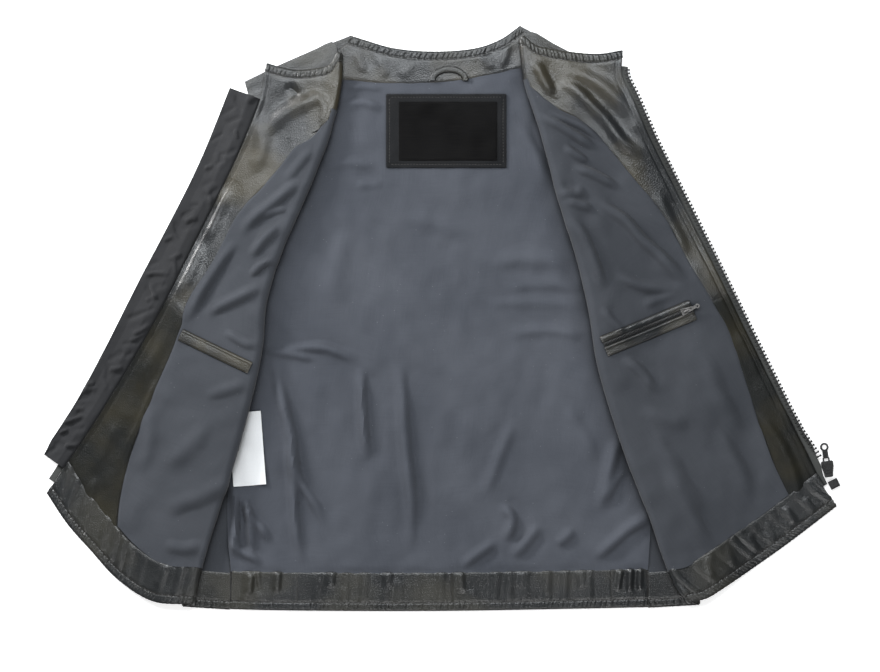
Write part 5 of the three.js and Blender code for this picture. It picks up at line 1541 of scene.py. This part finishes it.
# %% One tree for every repeated part
def repeat_tree():
    tree = bpy.data.node_groups.new("parts_on_points", "GeometryNodeTree")
    face = tree.interface
    face.new_socket("Points", in_out="INPUT", socket_type="NodeSocketGeometry")
    face.new_socket("Part", in_out="INPUT", socket_type="NodeSocketObject")
    face.new_socket("Finish", in_out="INPUT", socket_type="NodeSocketMaterial")
    face.new_socket("Size", in_out="INPUT", socket_type="NodeSocketFloat").default_value = 1.0
    face.new_socket("Parts", in_out="OUTPUT", socket_type="NodeSocketGeometry")
    start = tree.nodes.new("NodeGroupInput")
    end = tree.nodes.new("NodeGroupOutput")

    def named(attribute, kind):
        node = tree.nodes.new("GeometryNodeInputNamedAttribute")
        node.data_type = kind
        node.inputs["Name"].default_value = attribute
        return node.outputs["Attribute"]

    part = tree.nodes.new("GeometryNodeObjectInfo")
    turn = tree.nodes.new("FunctionNodeAxesToRotation")
    turn.primary_axis, turn.secondary_axis = "Z", "X"
    size = tree.nodes.new("ShaderNodeMath")
    size.operation = "MULTIPLY"
    place = tree.nodes.new("GeometryNodeInstanceOnPoints")
    real = tree.nodes.new("GeometryNodeRealizeInstances")
    paint = tree.nodes.new("GeometryNodeSetMaterial")
    for source, target in [
        (start.outputs["Part"], part.inputs["Object"]),
        (named("up", "FLOAT_VECTOR"), turn.inputs["Primary Axis"]),
        (named("along", "FLOAT_VECTOR"), turn.inputs["Secondary Axis"]),
        (named("size", "FLOAT"), size.inputs[0]),
        (start.outputs["Size"], size.inputs[1]),
        (start.outputs["Points"], place.inputs["Points"]),
        (part.outputs["Geometry"], place.inputs["Instance"]),
        (turn.outputs["Rotation"], place.inputs["Rotation"]),
        (size.outputs[0], place.inputs["Scale"]),
        (place.outputs["Instances"], real.inputs["Geometry"]),
        (real.outputs["Geometry"], paint.inputs["Geometry"]),
        (start.outputs["Finish"], paint.inputs["Material"]),
        (paint.outputs["Geometry"], end.inputs["Parts"]),
    ]:
        tree.links.new(source, target)
    return tree


REPEAT = repeat_tree()
SOCKETS = {item.name: item.identifier for item in REPEAT.interface.items_tree
           if item.in_out == "INPUT"}


def repeated(name, part, places, along, up, finish, sizes=None):
    """One mesh of a small part on many points, in metres"""
    dots = bpy.data.meshes.new(name + "_points")
    dots.from_pydata((places * MM).tolist(), [], [])
    for key, value in (("along", along), ("up", up)):
        layer = dots.attributes.new(key, "FLOAT_VECTOR", "POINT")
        layer.data.foreach_set("vector", value.astype(np.float32).ravel())
    layer = dots.attributes.new("size", "FLOAT", "POINT")
    sizes = np.ones(len(places)) if sizes is None else sizes
    layer.data.foreach_set("value", sizes.astype(np.float32))
    holder = link(bpy.data.objects.new(name + "_row", dots))
    modifier = holder.modifiers.new("parts", "NODES")
    modifier.node_group = REPEAT
    modifier[SOCKETS["Part"]] = part
    modifier[SOCKETS["Finish"]] = finish
    modifier[SOCKETS["Size"]] = 1.0
    bpy.context.view_layer.update()
    ready = holder.evaluated_get(bpy.context.evaluated_depsgraph_get())
    mesh = bpy.data.meshes.new_from_object(ready)
    mesh.name = name
    bpy.data.objects.remove(holder)
    mesh.materials.clear()
    mesh.materials.append(finish)
    mesh.polygons.foreach_set("use_smooth", [True] * len(mesh.polygons))
    mesh.set_sharp_from_angle(angle=math.radians(40))
    print(name, len(places), "parts,", len(mesh.polygons), "faces")
    return link(bpy.data.objects.new(name, mesh))


# %% The small parts
def loft(name, sections):
    """A closed form through rings of points, each a list of (x, y, z) in millimetres"""
    rings = np.array(sections, float)
    count, sides = rings.shape[:2]
    number = np.arange(count * sides).reshape(count, sides)
    after = np.roll(number, -1, axis=1)
    faces = np.stack([number[:-1], after[:-1], after[1:], number[1:]], -1).reshape(-1, 4).tolist()
    faces += [number[0][::-1].tolist(), number[-1].tolist()]
    mesh = bpy.data.meshes.new(name)
    mesh.from_pydata((rings.reshape(-1, 3) * MM).tolist(), [], faces)
    return bpy.data.objects.new(name, mesh)


def ring(x, half_width, half_height, middle=0.0, sides=8, square=0.75):
    turns = np.arange(sides) * 2 * math.pi / sides + math.pi / sides
    return [(x, half_width * squarish(math.cos(t), square),
             middle + half_height * squarish(math.sin(t), square)) for t in turns]


def small_part(name, sections, length=1.0, **form):
    """A part lofted along its own X, through rings of (x, half width, half height, middle)"""
    return loft(name, [ring(x * length, *rest, **form) for x, *rest in sections])


def across_chain(name, sections):
    """The same, turned to run along its own Y, outwards from the chain"""
    return loft(name, [[(-y, x, z) for x, y, z in ring(*section)] for section in sections])


STITCH_LENGTH = 2.7
stitch_part = small_part(
    "stitch",
    ((-1, 0.147, 0.119, -0.3), (-0.75, 0.357, 0.289, 0.02), (0, 0.42, 0.34, 0.16),
     (0.75, 0.357, 0.289, 0.02), (1, 0.147, 0.119, -0.3)),
    STITCH_LENGTH / 2, sides=6, square=1.0)
# A moulded tooth: root on the tape, narrow neck, and a wider head that points outwards
tooth_part = across_chain(
    "tooth",
    ((-1.6, 0.85, 1.2), (-1.1, 1.25, 1.5), (0.9, 1.2, 1.5), (1.6, 0.75, 1.1),
     (2.6, 0.75, 0.95), (3.3, 1.3, 1.25), (4.3, 1.25, 1.2), (4.7, 0.8, 0.75)))
coil_part = across_chain(
    "coil",
    ((-2.7, 0.3, 0.45, -0.1), (-2.3, 0.5, 0.75), (-0.6, 0.5, 0.95),
     (0.6, 0.5, 0.95), (2.3, 0.5, 0.75), (2.7, 0.3, 0.45, -0.1)))

# %% Teeth along both chains
TOOTH_PITCH = 4.5


def along_even(line, pitch, first, *others):
    """A line read at an even pitch: places, directions, and any other values it carries"""
    run = run_length(line)
    wanted = np.arange(first, run[-1] - pitch / 2, pitch)
    values = (line, np.gradient(line, axis=0), *others)
    places, along, *rest = (read_line(wanted, run, value) for value in values)
    return places, unit(along), *rest


def chain(name, front, start, end, middle, offset):
    down = spread(start, end, 1500)
    line = front.point(down, np.full_like(down, EDGE))
    line[:, :2] += front.edge.across(down, front.side) * offset(down)[:, None]
    line[:, 2] += middle(down) - SHELL_HEIGHT
    places, along = along_even(line, TOOTH_PITCH, TOOTH_PITCH / 2)
    sideways = unit(np.cross(along, [0, 0, 1.0]))
    up = unit(np.cross(sideways, along))
    # A tooth's own X runs along the chain and its Y outwards, away from the front
    out = front.edge.across(np.full(len(places), 0.5), front.side)
    inwards = (np.cross(up, along)[:, :2] * out).sum(axis=1) < 0
    along = np.where(inwards[:, None], -along, along)
    return repeated(name, tooth_part, places, along, up, zip_plastic)


pieces["left_zip_chain"] = chain("left_teeth", left, 0.033, 0.909, left_height,
                                 lambda down: left_reach(down) + 0.9)
pieces["right_zip_chain"] = chain("right_teeth", right, 0.092, 0.898, always(TAPE_LEVEL),
                                  always(CHAIN_INSIDE + 1.2))

# %% Pocket coil
POCKET_PITCH = 1.5
pocket_ends = [np.array(point, float) for point in ZIP_POCKET]
pocket_length = np.linalg.norm(pocket_ends[1] - pocket_ends[0])
pocket_share = np.arange(0.012, 0.985, POCKET_PITCH / pocket_length)
coil_plan = mix(*pocket_ends, pocket_share[:, None])
coil_points, coil_up = on_leaf(left, coil_plan)
coil_along = unit(np.gradient(coil_points, axis=0))
pieces["pocket_zip_chain"] = repeated("pocket_coil", coil_part, coil_points + coil_up * 0.95,
                                      coil_along, coil_up, zip_plastic)


# %% Stitches along the seams
STITCH_PITCH = 3.4
seams = []


def line_on(name, rows, columns):
    """Places and normals on a piece's upper surface at fractional rows and columns of its grid"""
    values = []
    for made in SURFACES[name]:
        rows_in, columns_in = made.shape[:2]
        r = np.clip(rows * (rows_in - 1), 0, rows_in - 1.001)
        c = np.clip(columns * (columns_in - 1), 0, columns_in - 1.001)
        i, j = r.astype(int), c.astype(int)
        u, v = (r - i)[:, None], (c - j)[:, None]
        upper = mix(made[i, j], made[i, j + 1], v)
        values.append(mix(upper, mix(made[i + 1, j], made[i + 1, j + 1], v), u))
    return values


def stitched(name, rows, columns, seed, sink=0.05):
    """Stitches along one line of a piece"""
    line, normal = line_on(name, rows, columns)
    places, along, up = along_even(line, STITCH_PITCH, STITCH_PITCH, normal)
    up = unit(up)
    draw = np.random.default_rng(seed)
    lean = draw.normal(0, 0.045, len(places))[:, None]
    along = unit(along + np.cross(up, along) * lean)
    seams.append((places - up * sink, along, up, draw.uniform(0.92, 1.05, len(places))))


run = np.linspace(0.002, 0.998, 2400)
same = np.ones_like(run)
inside = 1 - STITCH_INSET / TOPSTITCHED_EDGE
for front in (right, left):
    stitched(f"{front.name}_neck_turned", same * inside, run, 1)
    stitched(f"{front.name}_hem_turned", same * (1 - inside), run, 2)
stitched("back_neck_turned", same * inside, run, 3)
stitched("back_hem_turned", same * inside, run, 4)
low_x, low_y = (LABEL_STITCH / size for size in LABEL_SIZE)
for rows, columns in ((same * low_y, run), (same * (1 - low_y), run),
                      (run, same * low_x), (run, same * (1 - low_x))):
    rows, columns = np.clip(rows, low_y, 1 - low_y), np.clip(columns, low_x, 1 - low_x)
    stitched("label_leather", rows, columns, 5)
WELT_STITCHES = {"pocket_welt_upper": 0.86, "pocket_welt_lower": 0.9, "open_pocket_welt": 0.14}
for name, over in WELT_STITCHES.items():
    stitched(name, run, same * over, 7)
places, along, up, sizes = (np.concatenate(group) for group in zip(*seams))
stitches = repeated("stitches", stitch_part, places, along, up, thread, sizes)
for part in (stitch_part, tooth_part, coil_part):
    bpy.data.objects.remove(part)

# %% [markdown]
# ## Finishes on the pieces
# Every piece takes one material; the table also lists the slot of the record it stands for.

# %% Materials and slots
FINISHES = {
    "front_lining": (front_cotton, "lining_cotton"),
    "lining": (lining_cotton, "lining_cotton"),
    "facing_lower": (shaded_lower_leather, "black_leather"),
    "hem_facing": (black_leather, "black_leather"),
    "welt": (facing_leather, "black_leather"),
    "facing": (facing_leather, "black_leather"),
    "flap": (flap_cotton, "flap_cotton"),
    "face": (label_black, "label_satin"),
    "frame": (label_leather, "black_leather"),
    "care": (care_ribbon, "care_label_cloth"),
    "tape": (zip_tape, "zip_tape"),
    "chain": (zip_plastic, "zip_plastic"),
}
for node, piece in pieces.items():
    kind = next((word for word in FINISHES if word in node), None)
    finish, slot = FINISHES.get(kind, (black_leather, "black_leather"))
    piece.data.materials.clear()
    piece.data.materials.append(finish)
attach(stitches, "vest")

PLASTIC_NODES = ["zip_slider", "zip_pull", "zip_retainer_box", "right_zip_pin"]
METAL_NODES = ["pocket_zip_slider", "pocket_zip_pull"]
for nodes, finish in ((PLASTIC_NODES, zip_plastic), (METAL_NODES, zip_metal)):
    for node in nodes:
        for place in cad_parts[node].material_slots:
            place.material = finish

# %% [markdown]
# ## What each sheet was cut from
# Width, length and area are measured along the piece that is built here. Turned edges, tapes and
# other narrow strips are sewn to a larger panel and are listed with it.

# %% Sheets
SEWN_ON = {
    "right_front_shell": ("right_neck_edge", "right_hem_edge", "right_zip_tape",
                          "right_zip_chain"),
    "left_front_shell": ("left_neck_edge", "left_hem_edge", "left_zip_tape", "left_zip_chain"),
    "right_front_lining": ("right_pocket_welt",),
    "left_front_lining": ("left_pocket_welt_upper", "left_pocket_welt_lower", "pocket_zip_chain"),
    "back_shell": ("back_neck_edge", "back_hem_edge", "hanger_loop"),
}
narrow = {node for group in SEWN_ON.values() for node in group}
for node, piece in pieces.items():
    if node in narrow:
        continue
    extra = [pieces[name] for name in SEWN_ON.get(node, ())]
    if node == "back_shell":
        extra.append(stitches)


# %% Floor and lights
def area_light(name, place, aim, size, power, tint=(1, 1, 1)):
    data = bpy.data.lights.new(name, "AREA")
    data.shape = "RECTANGLE"
    data.size, data.size_y = size
    data.energy = power
    data.color = tint
    lamp = link(bpy.data.objects.new(name, data))
    lamp.location = place
    direction = np.array(aim) - np.array(place)
    lamp.rotation_euler = Vector(direction).to_track_quat("-Z", "Y").to_euler()


area_light("top_softbox", (-0.1, 0.95, 1.9), (0, 0.2, 0), (1.7, 0.7), 38, (0.93, 0.97, 1.0))
area_light("raking_softbox", (-1.3, 1.0, 0.55), (0, -0.05, 0), (0.4, 0.3), 30)
area_light("low_softbox", (0.1, -1.15, 1.85), (0, -0.2, 0), (1.2, 0.35), 11)

floor_mesh = bpy.data.meshes.new("floor")
floor_mesh.from_pydata([(-3, -3, 0), (3, -3, 0), (3, 3, 0), (-3, 3, 0)], [], [(0, 1, 2, 3)])
floor = link(bpy.data.objects.new("floor", floor_mesh))
floor.location.z = -0.0002
paper = bpy.data.materials.new("paper_floor")
paper.use_nodes = True
paper_shader = paper.node_tree.nodes["Principled BSDF"]
paper_shader.inputs["Base Color"].default_value = (0.9, 0.9, 0.9, 1)
paper_shader.inputs["Emission Color"].default_value = (1, 1, 1, 1)
paper_shader.inputs["Emission Strength"].default_value = 0.6
floor_mesh.materials.append(paper)

world = bpy.data.worlds.new("studio")
world.use_nodes = True
world.node_tree.nodes["Background"].inputs["Color"].default_value = (1, 1, 1, 1)
world.node_tree.nodes["Background"].inputs["Strength"].default_value = 0.12
bpy.context.scene.world = world
bpy.context.scene.view_settings.view_transform = "Standard"

# %% Every piece rides on the vest
for node, piece in pieces.items():
    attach(piece, "vest")
    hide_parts(node)
